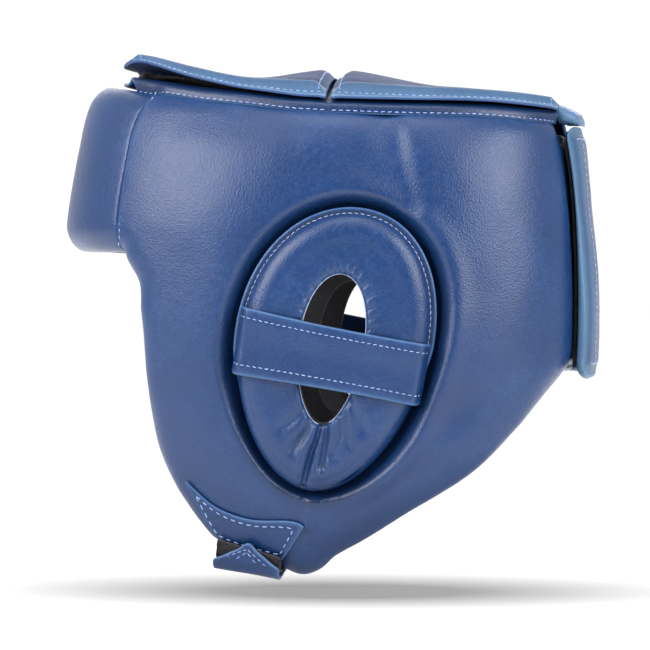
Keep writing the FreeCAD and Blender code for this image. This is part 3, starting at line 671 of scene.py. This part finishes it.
def ear_band(name, side):
    """The leather band across the ear pad: stitched along both edges, folded over the pad's border at its ends."""
    rows, columns = 150, 34
    u, v = grid_of(np.linspace(0, 1, rows), np.linspace(0, 1, columns))
    y = 0.2 + (2 * u - 1) * BAND_HALF
    z = BAND_HEIGHT - BAND_SLOPE * (y - 0.8) + (v - 0.5) * (31 - 3 * u) + 0.9 * np.sin(u * math.pi) * (0.5 - v)
    y = y + 5.4 * (v - 0.5) * (2 * u - 1) ** 2
    past = np.clip((np.abs(2 * u - 1) - 0.86) / 0.14, 0, 1)
    lift = 3.4 - 7.4 * past**2.6 - 0.7 * bell(v - 0.5, 0.3) * (1 - past) + 0.15 * np.cos(4 * math.pi * u)
    place = flat(np.stack([y, z], -1))
    top = on_flat(place, -lift)
    top = on_flat(place, -lift - 0.22 * lumps(top, 22, 9.2) - 0.1 * lumps(top, 9, 2.2))
    # Painted shade in the grooves of the two stitch rows; the lower edge is worn lighter and the upper fold has a
    # painted highlight.
    stitch_groove_shade = bell((v - 0.14) * 31, 0.7) + bell((0.88 - v) * 31, 0.7)
    under = on_flat(place, -lift + 2.0)
    band = plate(f"{name}_ear_band", top, under, [BLUE, EDGE_BLUE], "helmet", side, raw=True,
                 tint=-0.35 * stitch_groove_shade + 0.5 * bell(v * 31, 1.0) + 0.3 * bell((1 - v) * 31, 1.0))
    stand_for(band, "leather", f"{name}_ear_strap")
    for k, share in (("lower", 0.14), ("upper", 0.88)):
        sew(f"{name}_ear_band_{k}_stitches", top, np.linspace(0.01, 0.99, 200), share, (1, 0, 0), "helmet", side,
            2.2, 0.8, 0.5)


# ------------------------------------------------------------------ forehead
def forehead_grid(rows, columns, trim=0.06):
    """Turns and heights between the two seams, the shares u across them, and the seam's turns."""
    u, v = grid_of(np.linspace(-1, 1, rows), np.linspace(0, 1, columns))
    spot = through(SEAM, v)
    seam_turn, seam_z = turn_of(spot[..., 0], spot[..., 1]), spot[..., 1]
    middle = FOREHEAD_BOTTOM + v * (FOREHEAD_TOP - FOREHEAD_BOTTOM)
    return (seam_turn - trim) * u, middle + (seam_z - middle) * u**2, u, seam_turn


def forehead():
    """The forehead's cover and lining, and the threads of its two seams with the side panels."""
    rows, columns = 200, 90
    turn, z, u, seam_turn = forehead_grid(rows, columns)
    even = np.linspace(0, 1, columns)
    turn, z = (np.stack([np.interp(close_at_ends(columns), even, row) for row in g]) for g in (turn, z))
    up, down = z - z[:, :1], z[:, -1:] - z
    depth = rounded([(up, 15.0, 10.5), (down, 12.0, 7.0), ((1 - np.abs(u)) * seam_turn * 2.1, 3.0, 0.6)])
    top = shell(turn, z, depth)
    depth = depth - 0.4 * lumps(top, 36, 8.8) - 0.1 * lumps(top, 12, 6.1)
    top = shell(turn, z, depth)
    under = shell(turn, z, np.maximum(FOREHEAD_THICK - 3.0, depth + 1))
    tint = 0.3 * bell(up, 3) + 0.2 * bell(down, 3)
    cover = plate("forehead_panel_cover", top, under, [BLUE, BLUE], "helmet", soften=0.0, tint=tint)
    stand_for(cover, "leather", "forehead_cover", "forehead_foam", fill=0.8)
    deep = FOREHEAD_THICK - 3.5 * (1 - np.clip(up / 8, 0, 1)) ** 2 - 3.0 * (1 - np.clip(down / 8, 0, 1)) ** 2
    deep = deep + 0.5 * lumps(top, 26, 2.9)
    lining = plate("forehead_panel_lining", shell(turn, z, deep - 1.5), shell(turn, z, deep), [LINING, LINING],
                   "helmet", soften=1.6)
    stand_for(lining, "lining", "forehead_lining")
    place = flat(through(SEAM, np.linspace(0.03, 0.985, 200))) + (1.5, 0)
    path, above = on_flat(place, 0.55), on_flat(place, -1.0)
    for name, side in SIDE_SIGNS.items():
        stitches(f"{name}_seam_panel_stitches", path, unit(above - path), "helmet", side, 1.9, 1.3, 0.5)


# ------------------------------------------------------------------ jaw patches
def jaw_patch(name, side):
    """The flat leather patch at the jaw, stitched along its four edges."""
    rows, columns = 70, 30
    u, v = grid_of(np.linspace(0, 1, rows), np.linspace(0, 1, columns))
    low, high = through(PATCH_BOTTOM, u), through(PATCH_TOP, u)
    place = flat(low + (high - low) * v[..., None])
    depth = np.minimum(panel_depth(place), 6.0) - 1.9
    top = on_flat(place, depth - 0.15 * lumps(on_flat(place, depth), 14, 5.5))
    edge_mm = np.minimum.reduce([u * 55, (1 - u) * 55, v * 22, (1 - v) * 22])
    # Worn lighter at the edges, with painted shade along the stitch rows just inside them.
    patch = plate(f"{name}_jaw_patch", top, on_flat(place, depth + 1.3), [BLUE, EDGE_BLUE], "helmet", side, raw=True,
                  tint=0.45 * bell(edge_mm, 1.0) - 0.3 * bell(edge_mm - 3, 0.8))
    stand_for(patch, "leather", f"{name}_chin_patch")
    corners = [(0.055, 0.13), (0.065, 0.87), (0.945, 0.87), (0.945, 0.13)]
    line = np.linspace(0, 1, 90)
    for k, (a, b) in enumerate(zip(corners, corners[1:] + corners[:1])):
        sew(f"{name}_jaw_patch_stitches_{k}", top, a[0] + (b[0] - a[0]) * line, a[1] + (b[1] - a[1]) * line, (1, 0, 0),
            "helmet", side, 2.6, 1.3, 0.6)


# ------------------------------------------------------------------ crown
SEAM_TOP_TURN = float(turn_of(*PANEL_TOP[0]))
FRONT_TURNS = np.linspace(5, SEAM_TOP_TURN, 400)
FRONT_TOPS = FOREHEAD_TOP + (PANEL_TOP[0][1] - FOREHEAD_TOP) * (FRONT_TURNS / SEAM_TOP_TURN) ** 2
FRONT_YS = shell_place(FRONT_TURNS, FRONT_TOPS)[:, 1]
# Height of the lower lobe's top, lift and thickness of the upper lobe, the same at its root, and the front bulge.
LOWER, UPPER_LIFT, UPPER, ROOT_LIFT, ROOT_THICK = 2.6, 6.55, 5.0, 2.2, 2.4
BULGE, BULGE_HALF = 9.0, 42.0
LIGHT_MARGIN, STITCH_IN, RIM_INSET = 12.5, 3.9, 4.0


def rim(y):
    """(turn, height) of the panels' top edge at y, on the wearer's left."""
    y = np.asarray(y, float)
    z = along(PANEL_TOP, y)
    front = y < PANEL_TOP[0][0]
    turn = np.where(front, np.interp(y, FRONT_YS, FRONT_TURNS), turn_of(np.maximum(y, PANEL_TOP[0][0]), z))
    return turn, np.where(front, np.interp(y, FRONT_YS, FRONT_TOPS), z)


def crown_edge(y):
    turn, z = rim(y)
    return shell_place(turn, z)[..., 0] - RIM_INSET


def crown_height(x, y):
    held = np.maximum(y, LOBES["front"][0])
    middle = along(CROWN_MIDDLE, y)
    return middle + (rim(held)[1] - 0.6 - middle) * (x / crown_edge(held)) ** 2


def hinge_line(y, ends):
    a, b = 1.0 - crown_edge(ends[0]), 1.0 - crown_edge(ends[1])
    return a + (b - a) * (y - ends[0]) / (ends[1] - ends[0])


def close_at_ends(count, keep=0.45):
    even = np.linspace(0, 1, count)
    return keep * even + (1 - keep) * (0.5 - 0.5 * np.cos(math.pi * even))


def bend(piece, name, toward):
    """Bakes the piece's place into its mesh; the joint's place and axis are looked up, but the piece isn't bent."""
    j = next(j for j in frame["joints"] if j["name"] == name)
    place, axis = np.array(j["pos_m"], float), np.array(j["axis"], float)
    toward = np.array(toward, float)
    toward = unit(toward - axis * (toward @ axis) / (axis @ axis))
    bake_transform(piece)


def bulged(x, y, share, ends):
    return y - (BULGE * np.maximum(0, 1 - (x / BULGE_HALF) ** 2) * (1 - share) ** 2 if ends is LOBES["front"] else 0)


def top_lobe(name):
    """A crown lobe sewn to the right panel's rim: a strip up the rim, the root that bends, and the padded lobe."""
    ends, rows, strip = LOBES[name], 110, 9
    share = close_at_ends(rows, 0.3)[:, None]
    y = ends[0] + (ends[1] - ends[0]) * share
    hinge_x, edge = hinge_line(y, ends), crown_edge(y) + 1.5
    across = close_at_ends(84, 0.35)[None, :]
    x = hinge_x + (edge - hinge_x) * across
    yy = bulged(x, y + 0 * x, share, ends)
    climb = ease((x - hinge_x) / 18)
    length = ends[1] - ends[0]
    from_left, from_front, from_rear = edge - x, share * length + 0 * x, (1 - share) * length + 0 * x
    curl = 3.0 * ease(x / 60) * ease((-40 - yy) / 40)
    if name == "front":
        curl = curl + climb * (1 - ease(from_front / 32)) * 3.8
    under_z = crown_height(x, yy) + ROOT_LIFT + (UPPER_LIFT - ROOT_LIFT) * climb + curl
    border = np.minimum(np.minimum(from_left, from_front), from_rear)
    full = (6.0, 4.0) if name == "front" else (4.0, 6.0)
    pad = ease((np.minimum(np.minimum(from_left, from_front + full[0]), from_rear + full[1]) - 3.6) / 7.0)
    thick = 1.5 + (UPPER - 1.5) * pad
    thick = ROOT_THICK + (thick - ROOT_THICK) * ease((x - hinge_x) / 12)
    drop = 1.1 * (1 - ease(from_left / 7)) + 0.5 * (1 - ease(np.minimum(from_front, from_rear) / 4))
    top_z = under_z + thick - drop + 0.5 * pad * np.sin(np.clip(border / 24, 0, 1) * math.pi / 2)
    split = from_rear if name == "front" else from_front
    wrinkle = 0.2 * bell(split, 9) * np.sin(x * 0.42 + 1.3) * pad + 0.25 * bell(split - 9, 7) * np.sin(x * 0.23)
    top = np.stack([x, yy, top_z + wrinkle], -1)
    top[..., 2] += 0.30 * lumps(top, 21, 3.3 if name == "front" else 8.1)
    under = np.stack([x, yy, np.minimum(under_z - drop * 0.9 + 0.15, top[..., 2] - 1.1)], -1)

    turn, rim_z = rim(y[:, 0])
    foot_z, knee_z = rim_z - 9.0, rim_z - 1.0
    grids = []
    for grid, low, high, knee in ((top, -2.5, -2.9, -2.9), (under, -0.9, -0.9, -1.0)):
        lines = [shell(-turn, foot_z + (knee_z - foot_z) * s, low + (high - low) * s)
                 for s in np.linspace(0, 1, 7)[:-1]]
        for s in (0.0, 0.35, 0.7):
            bow = math.sin(math.pi * s) * 0.6
            lines.append(shell(-turn, knee_z, knee) * (1 - s) + grid[:, 0] * s + (-bow, 0, bow))
        grids.append(np.concatenate([np.stack(lines, 1), grid], 1))
    top, under = grids
    # Lighter towards the left edge, painted shade along the left stitch row, and worn lighter at the borders.
    shade = np.zeros(top.shape[:2])
    shade[:, strip:] = 0.75 * bell(from_left - 1, 4.5) - 0.5 * bell(from_left - STITCH_IN, 0.6)
    shade[:, strip:] += 0.4 * bell(border, 1.5)
    piece = plate(f"crown_{name}_top_lobe", top, under, [CROWN_BLUE, BAND_BLUE], tint=shade)
    columns = top.shape[1]
    light = np.zeros((rows - 1, columns - 1), bool)
    light[:, strip:] = (from_left < LIGHT_MARGIN)[:-1, :-1]
    use_second(piece, 0, light.size, light.ravel())
    stand_for(piece, "leather", f"crown_{name}_upper_lobe", f"crown_{name}_seam_strip", fill=0.7)
    bend(piece, f"crown_{name}_hinge", (1, 0, 0))

    body = f"crown_{name}_lobe"
    path = top[np.arange(rows), strip + np.argmin(np.abs(from_left - STITCH_IN), axis=1)][4:-4]
    path = np.stack([np.convolve(np.pad(c, 3, mode="edge"), np.ones(7) / 7, "valid") for c in path.T], -1)
    stitches(f"crown_{name}_left_stitches", path, (0.45, 0, 0.9), body, 1, 2.5, 0.8)
    near = 3.4 / length
    for k, s in (("front", near), ("rear", 1 - near)):
        path = top[np.argmin(np.abs(share[:, 0] - s)), strip + 14 : columns - 6]
        stitches(f"crown_{name}_{k}_stitches", path, (0, 0, 1), body, 1, 2.5, 0.8)
    turn, foot_z = -turn[3:-3], foot_z[3:-3]
    away = unit(shell(turn, foot_z, -3.0) - shell(turn, foot_z))
    stitches(f"crown_{name}_root_stitches", shell(turn, foot_z + 2.0, -2.6), away, "helmet", 1, 2.5, 0.8)


def under_lobe(name):
    """The lobe below, which comes up from the left panel's rim."""
    ends = {"front": (LOBES["front"][0], -2.1), "rear": (-1.9, LOBES["rear"][1])}[name]
    share = close_at_ends(90, 0.4)[:, None]
    y = ends[0] + (ends[1] - ends[0]) * share
    edge = crown_edge(y)
    turn, rim_z = rim(y)
    across = np.linspace(0, 1, 40)[None, :] ** 0.8
    x = -22 + (edge - 1.0 + 22) * across
    yy = bulged(x, y + 0 * x, share, LOBES[name])
    rise = 2.2 * bell(edge - 3.5 - x, 3.2)
    top = np.stack([x, yy, crown_height(x, yy) + LOWER + rise], -1)
    under = np.stack([x, yy, crown_height(x, yy) + rise + 0.8], -1)
    deep = 1.5 + 3.4 * ease((-84 - y[:, 0]) / 8)
    grids = []
    for grid, more in ((top, 0), (under, 1.1)):
        foot = shell(turn[:, 0], rim_z[:, 0] - 1.2, deep + more)
        lines = []
        for s in (0.25, 0.45, 0.65, 0.85, 1.0):
            bow = math.sin(math.pi * s) * 1.4
            lines.append(grid[:, -1] * (1 - s) + foot * s + (bow, 0, bow * 0.7))
        grids.append(np.concatenate([grid, np.stack(lines, 1)], 1))
    top, under = grids
    top[..., 2] += 0.2 * lumps(top, 13, 4.0)
    # Painted shade all over: the lobe lies in the shadow of the lobe above it.
    piece = plate(f"crown_{name}_under_lobe", top, under, [BLUE, BLUE], "helmet", tint=np.full(top.shape[:2], -0.5))
    stand_for(piece, "leather", f"crown_{name}_lower_lobe")
    path = top[2:-2, -2] * 0.55 + top[2:-2, -1] * 0.45
    stitches(f"crown_{name}_under_stitches", path, (0.75, 0, 0.66), "helmet", 1, 2.5, 0.9, 0.58)


def back_tab():
    """A padded pull tab sewn into the rear lobe's end: out and down, thick where it folds back under itself."""
    end_y = LOBES["rear"][1]
    share = close_at_ends(48, 0.6)
    x = np.linspace(-8, 38, 60)[:, None]

    def sheet(route):
        """A grid along a route of (past the lobe's end, above its underside) places."""
        past, rise = through(route, share).T
        z = crown_height(x, end_y) + UPPER_LIFT + rise[None, :]
        return np.stack([x + 0 * z, end_y + past[None, :] - 0.0018 * x**2, z], -1)

    top = sheet([(-5, 2.2), (0, 2.0), (6, -0.4), (11.3, -3.2), (12.6, -5.4)])
    under = sheet([(-5, 0.2), (0, -1.5), (3.6, -7.9), (9, -8.6), (12.4, -8.6)])
    top = top + normals_of(top) * 0.2 * lumps(top, 12, 6.6)[..., None]
    edge = np.minimum(x + 8, 38 - x) + 0 * top[..., 0]
    piece = plate("crown_rear_back_tab", top, under, [BLUE, BAND_BLUE], "crown_rear_lobe", raw=True,
                  tint=0.5 * bell(edge, 1.6))
    stand_for(piece, "leather", "crown_back_tab")
    line = np.linspace(0.3, 0.88, 90)
    for k, u, v in (("left", 0.93, line), ("right", 0.07, line), ("end", np.linspace(0.07, 0.93, 90), 0.86)):
        sew(f"crown_back_tab_{k}_stitches", top, u, v, (0, 0.6, 0.8), "crown_rear_lobe", 1, 2.5, 0.9, 0.6)


# ------------------------------------------------------------------ rear closure
FLAP_LOW, FLAP_HIGH, FLAP_IN, FLAP_OUT = -28.0, 98.5, -3.55, -8.15
FLAP_ROOT_TURN, FLAP_END_TURN = 219.0, 155.2


def rear_flap():
    """The padded flap across the back, from the strip sewn to the right panel to its free end on the left."""
    rows, columns = 120, 110
    u, v = grid_of(close_at_ends(rows, 0.4), close_at_ends(columns, 0.4))
    turn = FLAP_ROOT_TURN + (FLAP_END_TURN - FLAP_ROOT_TURN) * u
    near_end = np.clip((u - 0.88) / 0.12, 0, 1)
    pinch = 6.3 * (1 - np.sqrt(np.clip(1 - near_end**2.5, 0, 1)))
    high = FLAP_HIGH - 2.3 - pinch - 10.0 * ease(np.clip(1 - u / 0.12, 0, 1) * 1.1)
    low = FLAP_LOW + 2.3 + pinch
    z = low + (high - low) * v
    on_strip = ease((216.0 - turn) / 8)
    border = np.minimum(np.minimum(z - low, high - z), (turn - FLAP_END_TURN) * 2.0)
    pad = ease((border - 1.0) / 7.0)
    flap_out = FLAP_OUT + 2.9 * ease((z - 5) / 60)
    outer = -3.4 + (flap_out + 3.4) * on_strip - 0.5 * pad * on_strip + 0.7 * (1 - pad) * on_strip
    inner = -0.5 + (FLAP_IN + 0.5) * on_strip
    top = shell(turn, z, outer)
    outer = outer - 0.55 * lumps(top, 30, 2.2) * on_strip - 0.2 * lumps(top, 11, 7.2) * on_strip
    top = shell(turn, z, outer)
    under = shell(turn, z, inner + 0 * z)
    # Worn lighter at the borders, with painted shade along the stitch rows inside them.
    piece = plate("rear_flap_cover", top, under, [BLUE, BAND_BLUE], soften=1.0,
                  tint=0.4 * bell(border, 2.0) - 0.4 * bell(border - 4.6, 0.7))
    light = ((border < 3.6) & (turn < 200) | (turn < 163))[:-1, :-1]
    use_second(piece, 0, light.size, light.ravel())
    use_second(piece, 2 * light.size, len(piece.data.polygons))
    stand_for(piece, "leather", "rear_flap", "rear_hinge_strip", fill=0.7)
    bend(piece, "rear_flap_hinge", (1, 0.35, 0))

    line = np.linspace(0, 1, 200)
    for k, u_line, v_line in (("end", 0.87, 0.06 + 0.88 * line), ("top", 0.26 + 0.68 * line, 0.955),
                              ("bottom", 0.26 + 0.68 * line, 0.045)):
        i = np.interp(u_line, close_at_ends(rows, 0.4), np.linspace(0, 1, rows))
        j = np.interp(v_line, close_at_ends(columns, 0.4), np.linspace(0, 1, columns))
        sew(f"rear_flap_{k}_stitches", top, i, j, at(top, i, j)[0] * [1, 1, 0], "rear_closure_flap", 1, 2.6, 0.9)
    path = shell(217.4, np.linspace(FLAP_LOW + 5, FLAP_HIGH - 17, 120), -3.5)
    stitches("rear_flap_root_stitches", path, unit(path * [1, 1, 0]), "helmet", 1, 2.6, 0.9)


def rear_under_flap():
    """The panel under the rear flap, from the left panel to behind the head."""
    u, v = grid_of(np.linspace(0, 1, 60), close_at_ends(70, 0.5))
    turn = 198.5 + (160.3 - 198.5) * u
    z = -23.0 + (92.5 + 23.0) * v
    border = np.minimum(v * 115, (1 - v) * 115)
    outer = 1.2 + 3.0 * (1 - ease(border / 6)) + 1.6 * (1 - ease((1 - u) * 38 / 7))
    outer = outer + 0.2 * np.sin(v * 40) * bell(border, 9)
    top = shell(turn, z, outer - 0.3 * lumps(shell(turn, z, outer), 20, 1.1))
    # Painted shade: a little darker all over, where it lies under the rear flap.
    piece = plate("rear_under_panel", top, shell(turn, z, 8.7), [BLUE, LINING], "helmet", tint=-0.1 + 0 * z)
    use_second(piece, 59 * 69, 59 * 69)
    stand_for(piece, "leather", "rear_under_flap", fill=0.6)


# ------------------------------------------------------------------ chin
CHIN_DOWN = unit(np.array([0, FOLD_REAR[2] - FOLD_FRONT[2], FOLD_FRONT[1] - FOLD_REAR[1]]))
FOLD = unit(FOLD_REAR - FOLD_FRONT)
FOLD_LENGTH = float(np.linalg.norm(FOLD_REAR - FOLD_FRONT))
OUTWARD = unit(CHEEK_OUTWARD - FOLD * (CHEEK_OUTWARD @ FOLD))
CHEEK_UP = unit(np.cross(OUTWARD, FOLD))
FLIP = np.array([-1, 1, 1])
ACROSS = np.linspace(0, 1, 26)


def under_chin(share, across, drop):
    """A place under the chin: share from right to left, across from front to rear, and drop below the bare line."""
    left = FOLD_FRONT + (FOLD_REAR - FOLD_FRONT) * across
    right = left * FLIP
    return right + (left - right) * share + CHIN_DOWN * (drop - 3.0 * math.sin(math.pi * min(max(share, 0), 1)) ** 2)


def cheek(across, up, out):
    """A place beside the left cheek, from the fold at the panel's bottom edge."""
    return FOLD_FRONT + FOLD * (across * FOLD_LENGTH) + CHEEK_UP * up + OUTWARD * out


def ribbons(lines, count):
    """The outer and inner grids of a strap. lines gives the outer and the inner places along it for a share across."""
    t = np.linspace(0, 1, count)
    return (np.stack([through(places, t) for places in face]) for face in zip(*(lines(c) for c in ACROSS)))


def ribbon_shade(count, strength, width):
    """Tint for a strap's worn edges."""
    return strength * bell(np.minimum(ACROSS, 1 - ACROSS)[:, None] * FOLD_LENGTH + np.zeros((1, count)), width)


def chin():
    """The tab of loop tape, the strap from the right cheek, and the strap's pointed tip."""

    def tab(c):
        """The black tab: under the chin's left end and up beside the cheek."""
        return [[under_chin(s, c, drop) for s in (0.66, 0.75, 0.85, 0.95)] + [cheek(c, u, o) for u, o in fold]
                for drop, fold in ((1.9, ((-0.6, 2.0), (1.2, 2.6), (9.0 - 1.5 * c, 3.2))),
                                   (0.5, ((0.2, 0.6), (1.2, 1.0), (9.0 - 1.5 * c, 1.8))))]

    top, under = ribbons(tab, 110)
    top = top + normals_of(top) * 0.22 * lumps(top, 1.6, 1.5)[..., None]
    piece = plate("chin_tab_loop", top, under, [TAPE, TAPE], "helmet")
    stand_for(piece, "hook_and_loop", "chin_tab", "chin_tab_upper")
    tufts("chin_tab_tufts", top[:, -34:], 520, 0.9, "helmet", 11)

    def strap(c):
        """The strap, from its anchor on the right cheek to the left fold."""
        return [[cheek(c, u, o) * FLIP for u, o in anchor]
                + [under_chin(s, c, drop) for s in (0.06, 0.25, 0.5, 0.75, 0.9, 0.972)]
                for drop, anchor in ((5.65, ((9.0, 3.6), (6.0, 4.6), (2.5, 5.0), (-2.6, 4.4))),
                                     (3.75, ((9.0, 1.9), (6.0, 2.6), (3.5, 2.9), (-1.6, 2.7))))]

    top, under = ribbons(strap, 170)
    top = top + normals_of(top) * 0.15 * lumps(top, 12, 2.4)[..., None]
    piece = plate("chin_strap_leather", top, under, [BLUE, EDGE_BLUE], raw=True,
                  tint=ribbon_shade(170, 0.4, 1.0))
    stand_for(piece, "leather", "chin_strap", "chin_strap_anchor")
    bend(piece, "chin_strap_hinge", (1, 0, 0))
    for k, c in (("front", 0.1), ("rear", 0.9)):
        sew(f"chin_strap_{k}_stitches", top, c, np.linspace(0.16, 0.97, 220), CHIN_DOWN, "chin_strap_band", 1, 2.7, 1.0)

    length = 12.0

    def tip(c):
        """The strap's pointed end, folded up beside the left cheek."""
        dip = 3.0 * (1 - c)
        point = [(0.5 + (c - 0.5) * (1 - narrow), 2.4 - dip * (1 - s) + (length - 2.4) * s, out) for narrow, s, out in
                 ((0.0, 0.0, 6.2), (0.25, 0.25, 6.5), (0.5, 0.5, 6.4), (0.75, 0.75, 6.1), (0.93, 1.0, 5.7))]
        return [[under_chin(s, c, drop) for s in (0.93, 0.962)] + [cheek(c, u - dip, o) for u, o in fold]
                + [cheek(n, u, o - thick) for n, u, o in point]
                for drop, fold, thick in ((5.8, ((-3.4, 3.4), (-0.9, 5.4)), 0.0),
                                          (3.9, ((-2.0, 2.4), (0.2, 3.7)), 1.9))]

    top, under = ribbons(tip, 90)
    top = top + normals_of(top) * 0.12 * lumps(top, 9, 3.4)[..., None]
    piece = plate("chin_tip_leather", top, under, [BLUE, EDGE_BLUE], raw=True, tint=ribbon_shade(90, 0.25, 1.5))
    stand_for(piece, "leather", "chin_strap_tip")
    bend(piece, "chin_tip_hinge", (0.75, 0, 0.65))
    for k, c, end in (("outer_front", 0.17, 0.86), ("outer_rear", 0.83, 0.86), ("inner_front", 0.33, 0.72),
                      ("inner_rear", 0.67, 0.72)):
        path = [cheek(0.5 + (c - 0.5) * (1 - s), 3.2 + (length * end - 3.2) * s, 6.35) for s in np.linspace(0, 1, 60)]
        stitches(f"chin_tip_{k}_stitches", np.array(path), OUTWARD, "chin_strap_end", 1, 2.0, 1.0, 0.5)


def tufts(name, grid, count, length, body, seed):
    """Short bent filaments standing off a tape's face and edges."""
    rng = np.random.default_rng(seed)
    normals = normals_of(grid)
    rows, columns = grid.shape[:2]
    points, faces = [], []
    for _ in range(count):
        i, j = rng.integers(0, rows), rng.integers(0, columns)
        if rng.random() < 0.45:
            i = 0 if rng.random() < 0.5 else rows - 1
        foot, up = grid[i, j], normals[i, j]
        lean = unit(up + rng.normal(0, 0.55, 3))
        bent = unit(lean + rng.normal(0, 0.6, 3))
        tall = length * rng.uniform(0.5, 1.2)
        side_way = unit(np.cross(lean, rng.normal(0, 1, 3)))
        other = np.cross(lean, side_way)
        base = len(points)
        knee = foot + lean * tall * 0.5
        for centre, wide in ((foot - up * 0.2, 0.16), (knee, 0.13), (knee + bent * tall * 0.5, 0.07)):
            for a in (0, 2.094, 4.189):
                points.append(centre + side_way * wide * math.cos(a) + other * wide * math.sin(a))
        faces += grid_faces(3, 3, base, wrap=True)
        faces += [(base, base + 1, base + 2), (base + 6, base + 7, base + 8)]
    make(name, np.array(points), faces, TAPE, body)


def crown_tufts():
    """Filaments in the gap under the front lobe, on its hook tape and on the loop tape below."""
    ends = LOBES["front"]
    y = np.linspace(ends[0] + 5, -20, 60)[:, None]
    edge = crown_edge(y)
    x = edge - 3 - np.linspace(12, 0, 12)[None, :]
    lift = UPPER_LIFT + 3.0 * ease(x / 60) * ease((-40 - y) / 40) - 1.2
    hooks, loops = (np.stack([x, y + 0 * x, crown_height(x, y) + h], -1) for h in (lift - 0.6, LOWER + 1.6))
    tufts("crown_front_hook_tufts", hooks[:, ::-1], 420, 1.5, "crown_front_lobe", 5)
    tufts("crown_front_loop_tufts", loops, 480, 1.3, "helmet", 6)


# ------------------------------------------------------------------ all the pieces
forehead()
for side_name, side_sign in SIDE_SIGNS.items():
    side_panel(side_name, side_sign)
    ear_pad(side_name, side_sign)
    ear_band(side_name, side_sign)
    jaw_patch(side_name, side_sign)
for lobe_name in LOBES:
    top_lobe(lobe_name)
    under_lobe(lobe_name)
back_tab()
rear_flap()
rear_under_flap()
chin()
crown_tufts()
for node_name, node in frame["nodes"].items():
    if node_name.endswith("_tape"):
        node.data.materials.clear()
        node.data.materials.append(TAPE)

# ------------------------------------------------------------------ stage, lights, camera
SHADOW_Z = -139.0
HANGING_Z = -300.0


def stage_plane(name, size, place, turn, colour):
    """A square of one matt colour that isn't part of the object."""
    material, _, shader = new_material(f"{name}_colour", 0.9, 0.2)
    shader.inputs["Base Color"].default_value = (*colour, 1)
    mesh = bpy.data.meshes.new(name)
    h = size / 2
    mesh.from_pydata([(-h, -h, 0), (h, -h, 0), (h, h, 0), (-h, h, 0)], [], [(0, 1, 2, 3)])
    mesh.materials.append(material)
    piece = bpy.data.objects.new(name, mesh)
    piece.location = place
    piece.rotation_euler = turn
    bpy.context.scene.collection.objects.link(piece)
    return piece


def outward(azimuth, elevation):
    """The direction from the object to a camera or lamp at angles in degrees, with azimuth 0 in front of the face."""
    a, e = math.radians(azimuth), math.radians(elevation)
    return Vector((math.sin(a) * math.cos(e), -math.cos(a) * math.cos(e), math.sin(e)))


def soft_light(name, azimuth, elevation, distance, size, power, colour=(1, 1, 1)):
    data = bpy.data.lights.new(name, "AREA")
    data.shape, data.size, data.energy, data.color = "SQUARE", size, power, colour
    lamp = bpy.data.objects.new(name, data)
    away = outward(azimuth, elevation)
    lamp.location = away * distance
    lamp.rotation_euler = away.to_track_quat("Z", "Y").to_euler()
    bpy.context.scene.collection.objects.link(lamp)


# The hanging chin strap reaches 160 mm below the rest of the headgear, so the floor is lower still. The soft shadow
# close under the headgear, as in a product picture, is a clear card that only darkens towards its middle.
stage_plane("floor", 30.0, (0, 0, HANGING_Z * MM), (0, 0, 0), (0.97, 0.97, 0.97))
card = stage_plane("soft_shadow", 1.2, (0, 0, SHADOW_Z * MM), (0, 0, 0), (0.01, 0.01, 0.012))
tree = card.data.materials[0].node_tree
reach = node_of(tree, "ShaderNodeMapping", Scale=(1 / 0.17, 1 / 0.31, 1))
tree.links.new(tree.nodes.new("ShaderNodeTexCoord").outputs["Object"], reach.inputs["Vector"])
pool = node_of(tree, "ShaderNodeTexGradient", gradient_type="SPHERICAL")
tree.links.new(reach.outputs[0], pool.inputs["Vector"])
tree.links.new(ramp(tree, pool.outputs["Fac"], [(0.0, (0.0,)), (0.25, (0.26,)), (0.8, (0.80,))]),
               next(n for n in tree.nodes if n.type == "BSDF_PRINCIPLED").inputs["Alpha"])
# A dark card beside the camera, seen only in the leather's gloss.
flag = stage_plane("dark_flag", 5.6, (2.4, 0.1, 0.6), (0, math.radians(90), 0), (0.02, 0.02, 0.02))
flag.visible_camera = False
soft_light("front_soft", 39, 28, 1.7, 1.2, 72, (1.0, 0.98, 1.0))
soft_light("rear_soft", 141, 25, 1.7, 1.2, 66, (1.0, 0.98, 1.0))
soft_light("top_soft", 90, 72, 1.5, 0.8, 14)
soft_light("far_soft", 270, 35, 1.9, 1.6, 12)

world = bpy.data.worlds.new("studio")
world.use_nodes = True
world.node_tree.nodes["Background"].inputs["Color"].default_value = (1, 1, 1, 1)
world.node_tree.nodes["Background"].inputs["Strength"].default_value = 1.04
bpy.context.scene.world = world
bpy.context.scene.view_settings.view_transform = "Standard"
bpy.context.scene.view_settings.look = "None"

CAMERA_TARGET, CAMERA_DISTANCE = Vector((0.0006, -0.0092, -0.0025)), 1.94
camera_data = bpy.data.cameras.new("camera")
camera_data.lens, camera_data.sensor_width, camera_data.clip_end = 210.0, 36.0, 60.0
camera = bpy.data.objects.new("camera", camera_data)
back = outward(94.0, 1.5)
camera.location = CAMERA_TARGET + back * CAMERA_DISTANCE
camera.rotation_euler = back.to_track_quat("Z", "Y").to_euler()
bpy.context.scene.collection.objects.link(camera)
bpy.context.scene.camera = camera
